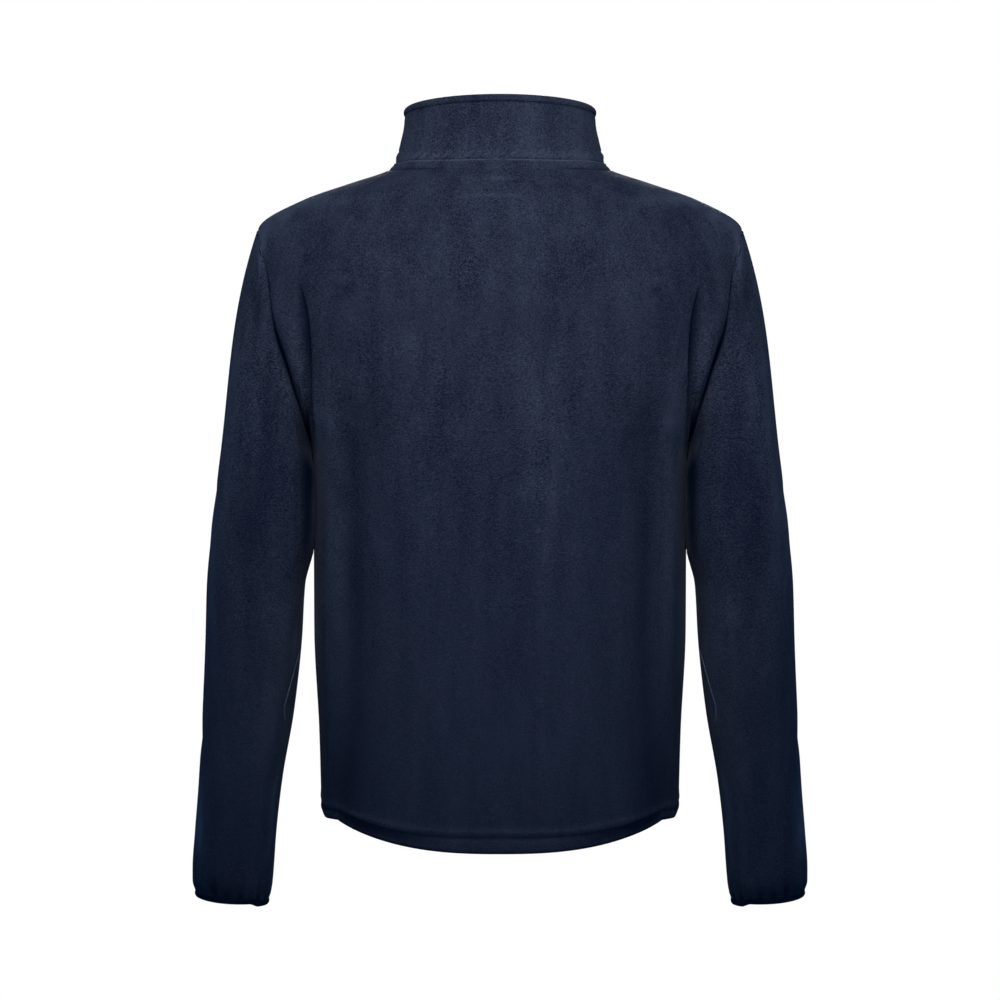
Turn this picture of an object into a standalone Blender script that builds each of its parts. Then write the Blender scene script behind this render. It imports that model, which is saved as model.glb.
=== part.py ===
"""A fleece pullover with a stand collar, in the hollow shape that it takes when it is worn.

Metres, +Z up. The wearer faces +Y, so the back panel faces -Y and +X is the wearer's right.
The origin is the middle of the neck, level with the neck points where the shoulders carry the garment.

Each cut piece is one closed wall of cloth. Its outer skin is a grid of points worked out from a body
form, an armhole, a neckline and an arm. Skins that are sewn together share the points of their seam, so
their walls are mitred there, and the two edges are then drawn apart by the seam gap.
"""

import math
from collections import namedtuple

import bmesh
import bpy
import numpy as np

# Cloth
FLEECE = 0.0022  # one layer
HEM_FLEECE = 0.0038  # the hem is turned up inside, so it is two layers
COLLAR_FLEECE = 0.0042  # the collar is cut double
SEAM_GAP = 0.0003  # between two pieces at a seam
TURNED_BACK_ROOM = 2.5  # how much more gap there is where the cloth turns back on itself at a seam
SLEEVE_CLEARANCE = 0.0015  # between a sleeve and the side that it hangs against,
CLEARANCE_DEPTH = 0.02  # which it has in full this far below the armpit
MOST_MITRE = 1.5  # a wall's corner is at most this many times its thickness
CORNER_SHARE = 0.5  # a panel's corner meets its seam with half the angle that an edge does
WELD = 1e-6
HALVINGS = 30  # enough to find a point of the form to well under a micrometre

# The body form in level sections. Each is a rounded oval with its own depth at the back and the front.
Section = namedtuple("Section", "level half_width back front square")
BODY = (
    Section(-0.700, 0.1765, 0.124, 0.128, 2.3),
    Section(-0.630, 0.1785, 0.125, 0.130, 2.3),
    Section(-0.560, 0.1805, 0.124, 0.131, 2.3),
    Section(-0.460, 0.1855, 0.126, 0.134, 2.3),
    Section(-0.370, 0.1860, 0.132, 0.139, 2.3),
    Section(-0.285, 0.1870, 0.140, 0.142, 2.4),
    Section(-0.255, 0.2005, 0.143, 0.142, 2.5),
    Section(-0.213, 0.2220, 0.146, 0.140, 2.6),
    Section(-0.163, 0.2435, 0.146, 0.133, 2.6),
    Section(-0.125, 0.2475, 0.141, 0.124, 2.5),
    Section(-0.090, 0.2475, 0.132, 0.112, 2.4),
    Section(-0.062, 0.2430, 0.121, 0.102, 2.1),
    Section(-0.054, 0.2385, 0.118, 0.098, 2.0),
    Section(-0.030, 0.1960, 0.107, 0.082, 1.9),
    Section(-0.014, 0.1500, 0.095, 0.066, 1.9),
    Section(-0.001, 0.1120, 0.084, 0.050, 1.9),
    Section(0.012, 0.0940, 0.074, 0.040, 2.0),
)
CHEST_LEVEL = -0.150  # the rows above the armpit fan out from the middle of the chest, at this level

# The armhole is an oval in the side view, laid on the body form.
ARMPIT_LEVEL = -0.285
SHOULDER_LEVEL = -0.060
ARMHOLE_REACH = {"back": 0.082, "front": 0.070}
ARMHOLE_STEPS = 12  # from the armpit to the shoulder point

# The neckline is a rounded oval in the top view, laid on the body form.
Neckline = namedtuple("Neckline", "reach square")
NECKLINES = {"back": Neckline(0.0865, 2.0), "front": Neckline(0.103, 2.3)}
NECK_HALF_WIDTH = 0.112

# The hem dips between the side seams, more at the back. Its rows stand at shares of the turned-up height,
# so that the band swells a little above the line of stitches that sinks into the pile.
HEM_SIDE_LEVEL = -0.645
HEM_DIP = {"back": 0.0285, "front": 0.010}
HEM_REACH = 0.90  # the share of the half width at which the dip runs out
HEM_WIDE = 2.6  # powers that keep it flat in the middle
HEM_ROUND = 0.90  # and soft where it runs out
HEM_HEIGHT = 0.0165
HemRow = namedtuple("HemRow", "share out cloth")
HEM_ROWS = (
    HemRow(0.0, 0.0, HEM_FLEECE),
    HemRow(0.5, 0.0012, HEM_FLEECE),
    HemRow(1.0, -0.0012, HEM_FLEECE),
    HemRow(1.6, 0.0, FLEECE),
)

# Columns across half a panel, as shares from the middle to its side edge.
COLUMNS = (0.0, 0.075, 0.15, 0.225, 0.30, 0.37, 0.45, 0.55, 0.65, 0.74, 0.82, 0.89, 0.95, 1.0)
NECK_COLUMN = 6  # it runs up to the neck point
SHOULDER_CROWDING = 1.4  # the columns past it crowd towards the rounded shoulder point
LOWER_STEPS = 7  # rows from the hem band to the armpit
TOP_SPREAD = 1.5  # the columns spread to the places that they have at the top edge mostly near it
ARMPIT_ROW = len(HEM_ROWS) - 1 + LOWER_STEPS

# Soft troughs that run down beside the armholes, where the lowered arm gathers the cloth
Fold = namedtuple("Fold", "piece top_x top_level low_x low_level half_width depth")
FOLDS = (
    Fold("back_panel", 0.193, -0.100, 0.184, -0.250, 0.014, 0.010),
    Fold("front_panel", 0.186, -0.110, 0.176, -0.250, 0.017, 0.007),
)
FOLD_DEEPEST = 0.6  # of the way down
FOLD_END = 1.1

# The arm in rings below the armpit: how far out it reaches, how far in, and its depth.
Ring = namedtuple("Ring", "level outer inner middle_y half_depth square")
ARM = (
    Ring(-0.312, 0.2820, 0.1805, -0.010, 0.0780, 2.5),
    Ring(-0.350, 0.2865, 0.1810, -0.010, 0.0765, 2.5),
    Ring(-0.376, 0.2888, 0.1840, -0.009, 0.0750, 2.4),
    Ring(-0.392, 0.2905, 0.1890, -0.008, 0.0735, 2.4),
    Ring(-0.414, 0.2922, 0.1945, -0.007, 0.0720, 2.3),
    Ring(-0.470, 0.2940, 0.1980, -0.003, 0.0680, 2.3),
    Ring(-0.540, 0.2976, 0.2060, 0.005, 0.0620, 2.2),
    Ring(-0.610, 0.3020, 0.2184, 0.014, 0.0560, 2.2),
    Ring(-0.665, 0.3068, 0.2250, 0.022, 0.0470, 2.2),
    Ring(-0.698, 0.3092, 0.2275, 0.025, 0.0435, 2.2),
    Ring(-0.714, 0.3083, 0.2292, 0.027, 0.0410, 2.2),
    Ring(-0.7275, 0.3040, 0.2325, 0.028, 0.0370, 2.2),
)
END_RISE = 0.0055  # how much higher the sleeve's end is at its outermost point,
END_RISE_DEPTH = 0.018  # fading out this far up,
END_RISE_POWER = 3.0  # and towards the inner side
LEAN_STEP = 0.01  # the arm's lean is measured between levels this far above and below a ring
TOUCH_LEVEL = -0.420  # above it the sleeve hangs against the side
CAP_STEPS = 6  # rings from the armhole to the first ring of the arm
CAP_REACH = 0.36  # how far the cap's curves hold their end directions, as a share of its length
CAP_TOP_WAY = np.array((0.30, 0.0, -0.95))  # which way the sleeve leaves the armhole at its top,
CAP_SIDE_WAY = np.array((0.48, 0.0, -0.88))  # at its back and front,
CAP_FOOT_WAY = np.array((0.62, 0.0, -0.78))  # and at the armpit
ARM_WAY = np.array((-0.15, 0.0, 1.0))  # and which way it comes up from the arm

# The collar stands on the neckline, and its top edge slopes down to the front.
COLLAR_TOP_HALF_WIDTH = 0.0955
COLLAR_TOP_REACH = {"back": 0.0790, "front": 0.0930}
COLLAR_SIDE_LEVEL = 0.0530
COLLAR_BACK_RISE = 0.0082
COLLAR_FRONT_FALL = 0.0470
COLLAR_FRONT_CURVE = 1.6
COLLAR_STEPS = 5
COLLAR_FOOT_HOLD = 0.016  # how far its foot runs on along the shoulder before it stands up,
COLLAR_FOOT_IN = 0.55  # going this much inwards
COLLAR_FOOT_UP = 0.83  # for this much up
COLLAR_TOP_HOLD = 0.45  # the share of its height that stands straight at the top

# Bindings that close the collar's top and the sleeve's end
Binding = namedtuple("Binding", "height thickness sides")
COLLAR_BINDING = Binding(0.0072, 0.0060, 6)
CUFF_BINDING = Binding(0.0066, 0.0040, 6)

NAVY = (0.014, 0.021, 0.040, 1.0)
ELASTIC_NAVY = (0.006, 0.009, 0.018, 1.0)
FLEECE_ROUGHNESS = 0.92
ELASTIC_ROUGHNESS = 0.80
SHARP_EDGE = math.radians(50)
UP = np.array((0.0, 0.0, 1.0))


def clear_scene():
    for thing in list(bpy.data.objects):
        bpy.data.objects.remove(thing)


def make_material(name, colour, roughness):
    material = bpy.data.materials.new(name)
    material.use_nodes = True
    shader = material.node_tree.nodes["Principled BSDF"]
    shader.inputs["Base Color"].default_value = colour
    shader.inputs["Roughness"].default_value = roughness
    shader.inputs["Metallic"].default_value = 0.0
    return material


# ---- Curves ----


class Curve:
    """A table's rows joined by cubics that pass through them with no overshoot."""

    def __init__(self, rows):
        rows = sorted(rows)
        self.knots = np.array([row.level for row in rows])
        self.values = np.array([row[1:] for row in rows])
        rises = np.diff(self.values, axis=0) / np.diff(self.knots)[:, None]
        self.slopes = np.zeros_like(self.values)
        for i in range(1, len(rows) - 1):
            below, above = rises[i - 1], rises[i]
            same_way = below * above > 0
            total = np.where(same_way, below + above, 1.0)
            self.slopes[i] = np.where(same_way, 2 * below * above / total, 0.0)
        self.slopes[0], self.slopes[-1] = rises[0], rises[-1]

    def at(self, level):
        level = min(max(level, self.knots[0]), self.knots[-1])
        i = min(int(np.searchsorted(self.knots, level, side="right")), len(self.knots) - 1) - 1
        step = self.knots[i + 1] - self.knots[i]
        t = (level - self.knots[i]) / step
        return (
            (1 + 2 * t) * (1 - t) ** 2 * self.values[i]
            + t * (1 - t) ** 2 * step * self.slopes[i]
            + t * t * (3 - 2 * t) * self.values[i + 1]
            - t * t * (1 - t) * step * self.slopes[i + 1]
        )


BODY_FORM = Curve(BODY)
ARM_FORM = Curve(ARM)


def smoothstep(low, high, value):
    t = min(max((value - low) / (high - low), 0.0), 1.0)
    return t * t * (3 - 2 * t)


def bent(start, leave, arrive, end, t):
    """A point of the curve from start to end that sets out towards leave and comes in from arrive."""
    near = (1 - t) ** 3 * start + 3 * t * (1 - t) ** 2 * leave
    return near + 3 * t * t * (1 - t) * arrive + t**3 * end


def unit(vector):
    return vector / np.linalg.norm(vector)


def rounded(share, square):
    """How far an oval still reaches one way, when it has gone this share of its reach the other way."""
    return max(1.0 - min(abs(share), 1.0) ** square, 0.0) ** (1.0 / square)


def oval(turn, square):
    """The two shares of its reaches that a rounded oval has at a turn."""
    c, s = math.cos(turn), math.sin(turn)
    return math.copysign(abs(c) ** (2 / square), c), math.copysign(abs(s) ** (2 / square), s)


# ---- The body form ----


def sign_of(side):
    return -1.0 if side == "back" else 1.0


def section(side, level):
    """The form's half width at a level, its depth on one side, and how square it is."""
    half_width, back, front, square = BODY_FORM.at(level)
    return half_width, back if side == "back" else front, square


def depth_at(side, x, level):
    """How far the form stands behind (back) or before (front) the middle plane."""
    half_width, depth, square = section(side, level)
    return depth * rounded(x / half_width, square)


def half_width_at(side, y, level):
    half_width, depth, square = section(side, level)
    return half_width * rounded(y / depth, square)


def top_level_at(side, x, y):
    """The level at which the upper form passes through a point of the top view."""
    low, high = CHEST_LEVEL, BODY[-1].level
    for _ in range(HALVINGS):
        middle = (low + high) / 2
        outside = abs(x) > BODY_FORM.at(middle)[0] or depth_at(side, x, middle) < abs(y)
        low, high = (low, middle) if outside else (middle, high)
    return (low + high) / 2


def form_point(side, x, angle):
    """Where the form is met at a place across it, going out at this angle from the middle of the chest."""
    low, high = 0.0, BODY[0].half_width * 2
    for _ in range(HALVINGS):
        reach = (low + high) / 2
        y, level = reach * math.cos(angle), CHEST_LEVEL + reach * math.sin(angle)
        inside = abs(x) < BODY_FORM.at(level)[0] and y < depth_at(side, x, level)
        low, high = (reach, high) if inside else (low, reach)
    return x, sign_of(side) * y, level


def angle_of(point):
    return math.atan2(point[2] - CHEST_LEVEL, abs(point[1]))


# ---- The edges that pieces share ----


def armhole_points(side):
    """From the armpit up to the shoulder point, on the wearer's right."""
    points = []
    for step in range(ARMHOLE_STEPS + 1):
        turn = math.pi * step / ARMHOLE_STEPS
        level = ARMPIT_LEVEL + (SHOULDER_LEVEL - ARMPIT_LEVEL) * (1 - math.cos(turn)) / 2
        y = ARMHOLE_REACH[side] * math.sin(turn)
        points.append((half_width_at(side, y, level), sign_of(side) * y, level))
    return points


def neckline_points(side):
    """From the middle of the panel to the neck point on the wearer's right."""
    reach, square = NECKLINES[side]
    points = []
    for column in range(NECK_COLUMN + 1):
        forward, across = oval(math.pi / 2 * column / NECK_COLUMN, square)
        x, y = NECK_HALF_WIDTH * across, reach * forward
        points.append((x, sign_of(side) * y, top_level_at(side, x, y)))
    return points


def shoulder_points(side):
    """From beside the neck point to the shoulder point."""
    end_x = half_width_at(side, 0.0, SHOULDER_LEVEL)
    steps = len(COLUMNS) - 1 - NECK_COLUMN
    points = []
    for step in range(1, steps):
        share = 1 - (1 - step / steps) ** SHOULDER_CROWDING
        x = NECK_HALF_WIDTH + (end_x - NECK_HALF_WIDTH) * share
        points.append((x, 0.0, top_level_at(side, x, 0.0)))
    return points + [(end_x, 0.0, SHOULDER_LEVEL)]


# ---- Skins: grids of outer points, in rows along the piece and columns across or round it ----


def hem_level(side, across):
    share = max(1 - (across / HEM_REACH) ** HEM_WIDE, 0.0)
    return HEM_SIDE_LEVEL - HEM_DIP[side] * share**HEM_ROUND


def lower_column(side, share):
    """A panel's column from the hem's edge to the armpit's level."""
    across = oval(share * math.pi / 2, BODY[0].square)[1]
    hem = hem_level(side, across)
    rows = [(hem + HEM_HEIGHT * row.share, row.out) for row in HEM_ROWS]
    rows += [(level, 0.0) for level in np.linspace(rows[-1][0], ARMPIT_LEVEL, LOWER_STEPS + 1)[1:]]
    points = []
    for level, out in rows:
        half_width, depth, square = section(side, level)
        forward, across = oval(share * math.pi / 2, square)
        points.append(((half_width + out) * across, sign_of(side) * (depth + out) * forward, level))
    return points


def upper_column(side, armhole, first, top):
    """A panel's column from above the armpit to the top edge."""
    low_share, top_share = first[0] / armhole[0][0], top[0] / armhole[-1][0]
    points = []
    for step in range(1, ARMHOLE_STEPS):
        climb = step / ARMHOLE_STEPS
        x = armhole[step][0] * (low_share + (top_share - low_share) * climb**TOP_SPREAD)
        angle = angle_of(first) + (angle_of(top) - angle_of(first)) * climb
        points.append(form_point(side, x, angle))
    return points + [top]


def panel_skin(side):
    """The whole panel: its half on the wearer's right and the mirror of it."""
    armhole = armhole_points(side)
    tops = neckline_points(side) + shoulder_points(side)
    half = []
    for share, top in zip(COLUMNS[:-1], tops):
        lower = lower_column(side, share)
        half.append(lower + upper_column(side, armhole, lower[-1], top))
    half.append(lower_column(side, 1.0) + armhole[1:])
    mirrored = [[(-x, y, z) for x, y, z in column] for column in half[:0:-1]]
    skin = np.array(mirrored + half).transpose(1, 0, 2)
    return skin if side == "back" else skin[:, ::-1]


def arm_ring(level, turns):
    """A ring round the arm, square to its forward lean. Turn 0 is outermost, a quarter turn is behind."""
    outer, inner, middle_y, half_depth, square = ARM_FORM.at(level)
    above, below = level + LEAN_STEP, level - LEAN_STEP
    lean = (ARM_FORM.at(below)[2] - ARM_FORM.at(above)[2]) / (above - below)
    rise = END_RISE * smoothstep(0.0, END_RISE_DEPTH, ARM[-1].level + END_RISE_DEPTH - level)
    points = []
    for turn in turns:
        across, behind = oval(turn, square)
        x = (outer + inner) / 2 + (outer - inner) / 2 * across
        y = -half_depth * behind
        outward = ((1 + across) / 2) ** END_RISE_POWER
        points.append((x, middle_y + y, level + y * lean + rise * outward))
    return clear_of_side(np.array(points))


def clear_of_side(ring):
    """Keeps a ring of the sleeve clear of the side that it hangs against."""
    for point in ring:
        if TOUCH_LEVEL < point[2] < ARMPIT_LEVEL:
            side = "back" if point[1] < 0 else "front"
            clearance = SLEEVE_CLEARANCE * smoothstep(0.0, CLEARANCE_DEPTH, ARMPIT_LEVEL - point[2])
            point[0] = max(point[0], half_width_at(side, point[1], point[2]) + clearance)
    return ring


def cap_way(turn):
    """The direction in which the sleeve leaves the armhole."""
    c, s = math.cos(turn), abs(math.sin(turn))
    return unit(s * CAP_SIDE_WAY + max(c, 0.0) ** 2 * CAP_TOP_WAY + max(-c, 0.0) ** 2 * CAP_FOOT_WAY)


def sleeve_skin():
    """The sleeve on the wearer's right, from the armhole to the end, with columns round it."""
    back, front = armhole_points("back"), armhole_points("front")
    armhole = np.array(back[::-1] + front[1:-1])  # from the shoulder down the back and up the front
    turns = [math.pi * step / ARMHOLE_STEPS for step in range(2 * ARMHOLE_STEPS)]
    arm = [arm_ring(ring.level, turns) for ring in ARM]
    cap = []
    for step in range(1, CAP_STEPS):
        ring = []
        for start, end, turn in zip(armhole, arm[0], turns):
            reach = CAP_REACH * np.linalg.norm(end - start)
            leave, arrive = start + reach * cap_way(turn), end + reach * ARM_WAY
            ring.append(bent(start, leave, arrive, end, step / CAP_STEPS))
        cap.append(clear_of_side(np.array(ring)))
    return np.array([armhole] + cap + arm)


def collar_top(turn):
    """A point under the collar's binding. Turn 0 is at the wearer's right, a quarter turn is behind."""
    c, s = math.cos(turn), math.sin(turn)
    x = COLLAR_TOP_HALF_WIDTH * c
    if s >= 0:
        return x, -COLLAR_TOP_REACH["back"] * s, COLLAR_SIDE_LEVEL + COLLAR_BACK_RISE * s
    fall = COLLAR_FRONT_FALL * abs(s) ** COLLAR_FRONT_CURVE
    return x, -COLLAR_TOP_REACH["front"] * s, COLLAR_SIDE_LEVEL - fall


def collar_skin():
    """From the neckline up to the binding, with columns round the neck."""
    edges = {}
    for side in ("back", "front"):
        points = neckline_points(side)
        edges[side] = points[::-1] + [(-x, y, z) for x, y, z in points[1:]]
    foot = np.array(edges["back"] + edges["front"][-2:0:-1])
    top = np.array([collar_top(math.tau * column / len(foot)) for column in range(len(foot))])
    rings = []
    for step in range(COLLAR_STEPS + 1):
        ring = []
        for start, end in zip(foot, top):
            inwards = unit(start * (-1.0, -1.0, 0.0))
            leave = start + COLLAR_FOOT_HOLD * (COLLAR_FOOT_IN * inwards + COLLAR_FOOT_UP * UP)
            arrive = end - COLLAR_TOP_HOLD * np.linalg.norm(end - start) * UP
            ring.append(bent(start, leave, arrive, end, step / COLLAR_STEPS))
        rings.append(ring[::-1])
    return np.array(rings)


# ---- Walls ----


def fold_depth(name, x, level):
    """How deep the folds press into a piece at a point."""
    total = 0.0
    for fold in FOLDS:
        if fold.piece == name:
            along = (level - fold.top_level) / (fold.low_level - fold.top_level)
            middle = fold.top_x + (fold.low_x - fold.top_x) * along
            across = (abs(x) - middle) / fold.half_width
            swell = smoothstep(0.0, FOLD_DEEPEST, along) * (1 - smoothstep(FOLD_DEEPEST, FOLD_END, along))
            total += fold.depth * swell * math.exp(-across * across)
    return total


class Piece:
    """A cut piece: its outer skin, whether that closes round, and the thickness of its cloth in each row."""

    def __init__(self, name, skin, closed, cloth):
        self.name, self.skin, self.closed = name, skin, closed
        self.cloth = np.broadcast_to(np.reshape(cloth, (-1, 1)), skin.shape[:2])
        self.normals = self.skin_normals()
        self.press_folds()
        self.inner = self.skin - self.normals * self.cloth[:, :, None]

    def skin_normals(self):
        rows, columns = self.skin.shape[:2]
        normals = np.zeros_like(self.skin)
        for r in range(rows - 1):
            for c in range(columns if self.closed else columns - 1):
                corners = [(r, c), (r, (c + 1) % columns), (r + 1, (c + 1) % columns), (r + 1, c)]
                low, along, far, up = (self.skin[corner] for corner in corners)
                for corner in corners:
                    normals[corner] += np.cross(far - low, up - along)
        return normals / np.linalg.norm(normals, axis=2)[:, :, None]

    def press_folds(self):
        rows, columns = self.skin.shape[:2]
        for r in range(1, rows - 1):
            for c in range(1, columns - 1):
                x, _, level = self.skin[r, c]
                self.skin[r, c] -= self.normals[r, c] * fold_depth(self.name, x, level)
        self.normals = self.skin_normals()

    def corner_share(self, at):
        """How much a place on the edge counts for in the direction that a seam's walls share."""
        rows, columns = self.skin.shape[:2]
        turns = not self.closed and at[1] in (0, columns - 1) and at[0] in (0, ARMPIT_ROW, rows - 1)
        return CORNER_SHARE if turns else 1.0

    def way_in(self, at, before, after, inside):
        """The way from a place on the edge into the piece, square to the edge and along the cloth."""
        way = self.skin[inside] - self.skin[at]
        for crossed in (self.skin[after] - self.skin[before], self.normals[at]):
            crossed = unit(crossed)
            way = way - crossed * (way @ crossed)
        return unit(way)

    def edge(self):
        """Each place on the piece's edge, with the way from it into the piece."""
        rows, columns = self.skin.shape[:2]
        found = {}
        for row, inside in ((0, 1), (rows - 1, rows - 2)):
            for c in range(columns):
                before, after = (c - 1) % columns, (c + 1) % columns
                if not self.closed:
                    before, after = max(c - 1, 0), min(c + 1, columns - 1)
                found[row, c] = self.way_in((row, c), (row, before), (row, after), (inside, c))
        if self.closed:
            return found
        for column, inside in ((0, 1), (columns - 1, columns - 2)):
            for r in range(rows):
                before, after = max(r - 1, 0), min(r + 1, rows - 1)
                way = self.way_in((r, column), (before, column), (after, column), (r, inside))
                found[r, column] = unit(way + found.get((r, column), 0.0))
        return found


def join_seams(pieces):
    """Gives the points of a seam one shared direction for their walls, and draws the pieces apart."""
    meeting = {}
    for piece in pieces:
        for at, way in piece.edge().items():
            spot = tuple(np.round(piece.skin[at], 5))
            meeting.setdefault(spot, []).append((piece, at, way))
    for group in meeting.values():
        shared = unit(sum(piece.normals[at] * piece.corner_share(at) for piece, at, _ in group))
        total = sum(way for _, _, way in group)
        for piece, at, way in group:
            mitre = min(1 / max(float(shared @ piece.normals[at]), WELD), MOST_MITRE)
            apart = np.zeros(3)
            if len(group) > 1:
                others = (total - way) / (len(group) - 1)
                room = SEAM_GAP * (1 + TURNED_BACK_ROOM * max(float(way @ others), 0.0))
                apart = way - others
                apart = unit(apart - shared * (apart @ shared)) * room * len(group) / 4
            piece.inner[at] = piece.skin[at] - shared * mitre * piece.cloth[at] + apart
            piece.skin[at] += apart


def finish_object(name, shape, material, collection):
    bmesh.ops.recalc_face_normals(shape, faces=shape.faces)
    bmesh.ops.triangulate(shape, faces=shape.faces, quad_method="SHORT_EDGE")
    mesh = bpy.data.meshes.new(name)
    shape.to_mesh(mesh)
    shape.free()
    mesh.shade_smooth()
    mesh.set_sharp_from_angle(angle=SHARP_EDGE)
    mesh.materials.append(material)
    collection.objects.link(bpy.data.objects.new(name, mesh))


def build_wall(piece, material, collection):
    """A grid laid on the skin, and extruded to the inside of the cloth."""
    rows, columns = piece.skin.shape[:2]
    across = columns + 1 if piece.closed else columns
    sheet = bmesh.new()
    bmesh.ops.create_grid(sheet, x_segments=across - 1, y_segments=rows - 1, size=1.0)
    place = sheet.verts.layers.int.new("place")
    for i, vert in enumerate(sheet.verts):
        row, column = divmod(i, across)
        vert[place] = row * columns + column % columns
        vert.co = piece.skin[row, column % columns]
    bmesh.ops.remove_doubles(sheet, verts=sheet.verts, dist=WELD)
    raised = bmesh.ops.extrude_face_region(sheet, geom=sheet.faces[:], use_keep_orig=True)
    for vert in raised["geom"]:
        if isinstance(vert, bmesh.types.BMVert):
            vert.co = piece.inner[divmod(vert[place], columns)]
    finish_object(piece.name, sheet, material, collection)


def build_binding(name, piece, binding, material, collection):
    """A rolled ring of cloth that closes the last row of a piece."""
    columns = piece.skin.shape[1]
    roll = bmesh.new()
    bmesh.ops.create_grid(roll, x_segments=columns, y_segments=binding.sides, size=1.0)
    for i, vert in enumerate(roll.verts):
        side, column = divmod(i, columns + 1)
        column %= columns
        edge, lining = piece.skin[-1, column], piece.inner[-1, column]
        out = unit(edge - lining)
        along = edge - piece.skin[-2, column]
        along = unit(along - out * (along @ out))
        angle = math.tau * (side % binding.sides) / binding.sides
        beyond = SEAM_GAP + binding.height / 2 * (1 + math.sin(angle))
        vert.co = (edge + lining) / 2 + along * beyond + out * binding.thickness / 2 * math.cos(angle)
    bmesh.ops.remove_doubles(roll, verts=roll.verts, dist=WELD)
    finish_object(name, roll, material, collection)


def main():
    clear_scene()
    pullover = bpy.data.collections.new("fleece_pullover")
    bpy.context.scene.collection.children.link(pullover)
    fleece = make_material("navy_fleece", NAVY, FLEECE_ROUGHNESS)
    elastic = make_material("elastic_binding", ELASTIC_NAVY, ELASTIC_ROUGHNESS)

    panel_cloth = [row.cloth for row in HEM_ROWS] + [FLEECE] * (LOWER_STEPS + ARMHOLE_STEPS)
    sleeve = sleeve_skin()
    back = Piece("back_panel", panel_skin("back"), False, panel_cloth)
    front = Piece("front_panel", panel_skin("front"), False, panel_cloth)
    right = Piece("sleeve_right", sleeve, True, FLEECE)
    left = Piece("sleeve_left", sleeve[:, ::-1] * (-1.0, 1.0, 1.0), True, FLEECE)
    collar = Piece("collar", collar_skin(), True, [FLEECE] + [COLLAR_FLEECE] * COLLAR_STEPS)
    pieces = (back, front, right, left, collar)
    join_seams(pieces)

    for piece in pieces:
        build_wall(piece, fleece, pullover)
    build_binding("collar_binding", collar, COLLAR_BINDING, fleece, pullover)
    build_binding("cuff_binding_right", right, CUFF_BINDING, elastic, pullover)
    build_binding("cuff_binding_left", left, CUFF_BINDING, elastic, pullover)


main()
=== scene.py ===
import math

import bmesh
import bpy
import numpy as np
from mathutils import Matrix, Vector
from mathutils.bvhtree import BVHTree


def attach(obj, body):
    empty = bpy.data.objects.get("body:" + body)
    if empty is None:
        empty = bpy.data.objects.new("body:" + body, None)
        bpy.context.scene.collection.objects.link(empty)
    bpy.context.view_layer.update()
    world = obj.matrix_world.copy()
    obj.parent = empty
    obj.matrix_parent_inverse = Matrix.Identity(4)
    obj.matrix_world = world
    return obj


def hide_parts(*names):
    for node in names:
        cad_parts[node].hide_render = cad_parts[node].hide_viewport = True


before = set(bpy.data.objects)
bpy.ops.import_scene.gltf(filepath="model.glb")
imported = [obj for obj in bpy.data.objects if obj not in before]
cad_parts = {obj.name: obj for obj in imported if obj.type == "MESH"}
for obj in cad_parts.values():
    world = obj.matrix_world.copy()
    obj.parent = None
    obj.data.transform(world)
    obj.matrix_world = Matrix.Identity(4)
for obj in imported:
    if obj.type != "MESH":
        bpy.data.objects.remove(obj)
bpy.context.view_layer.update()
print("frame loaded")

# Metres, +Z up. The wearer faces +Y and +X is the wearer's right. The origin is the middle of the neck.
# Each piece of cloth is a grid of points on the same body form as its solid, several times finer.

cloth = {
    "fleece": 0.0022, "hem": 0.0038, "collar": 0.0042,  # how thick it is
    "seamGap": 0.0001, "turnedBackRoom": 2.5, "mostMitre": 1.5, "sleeveClearance": 0.0013,
    "seamDip": 0.0011, "seamWidth": 0.0024, "seamShade": 0.26,  # a seam lies deeper, with painted shade along it
    "seamLine": 0.0009, "lineShade": 0.34,  # the fine dark line of painted shade in its middle
    "napeReach": (0.050, 0.085), "napeLevels": (-0.040, -0.015),  # the neck seam lies flat behind the neck
    "creaseShade": 14.0,  # painted shade in a crease's trough and painted light on its ridge, per metre that it rises
    "seamBlend": 0.010,  # how far from a seam its shared direction still counts
    "foldFade": 0.012,  # how far from a seam the folds start
    "sharpEdge": 60,
}
fine = 7  # grid steps for each step of the solid
weld = 1e-6
tiny = 1e-12
halvings = 34

bodyForm = np.array([  # level, half width, back, front in millimetres, and how square the section is
    (-700, 176.5, 124, 128, 2.3), (-630, 178.5, 125, 130, 2.3), (-560, 180.5, 124, 131, 2.3),
    (-460, 185.5, 126, 134, 2.3), (-370, 186, 132, 139, 2.3), (-285, 187, 140, 142, 2.4),
    (-255, 200.5, 143, 142, 2.5), (-213, 222, 146, 140, 2.6), (-163, 243.5, 146, 133, 2.6),
    (-125, 247.5, 141, 124, 2.5), (-90, 247.5, 132, 112, 2.4), (-62, 243, 121, 102, 2.1),
    (-54, 238.5, 118, 98, 2), (-30, 196, 107, 82, 1.9), (-14, 150, 95, 66, 1.9), (-1, 112, 84, 50, 1.9),
    (12, 94, 74, 40, 2),
]) * (0.001, 0.001, 0.001, 0.001, 1)
armForm = np.array([  # level, outer, inner, middle y, half depth in millimetres, and how square it is
    (-727.5, 306.8, 232.5, 28, 37, 2.2), (-714, 308.8, 229.2, 27, 41, 2.2),
    (-698, 309.2, 227.5, 25, 43.5, 2.2), (-665, 306.8, 225, 22, 47, 2.2), (-610, 302, 218.4, 14, 56, 2.2),
    (-540, 297.6, 206, 5, 62, 2.2), (-470, 294, 198, -3, 68, 2.3), (-414, 292.2, 194.5, -7, 72, 2.3),
    (-392, 290.5, 189, -8, 73.5, 2.4), (-376, 288.8, 184, -9, 75, 2.4), (-350, 286.5, 181, -10, 76.5, 2.5),
    (-312, 282, 180.5, -10, 78, 2.5),
]) * (0.001, 0.001, 0.001, 0.001, 0.001, 1)
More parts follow.
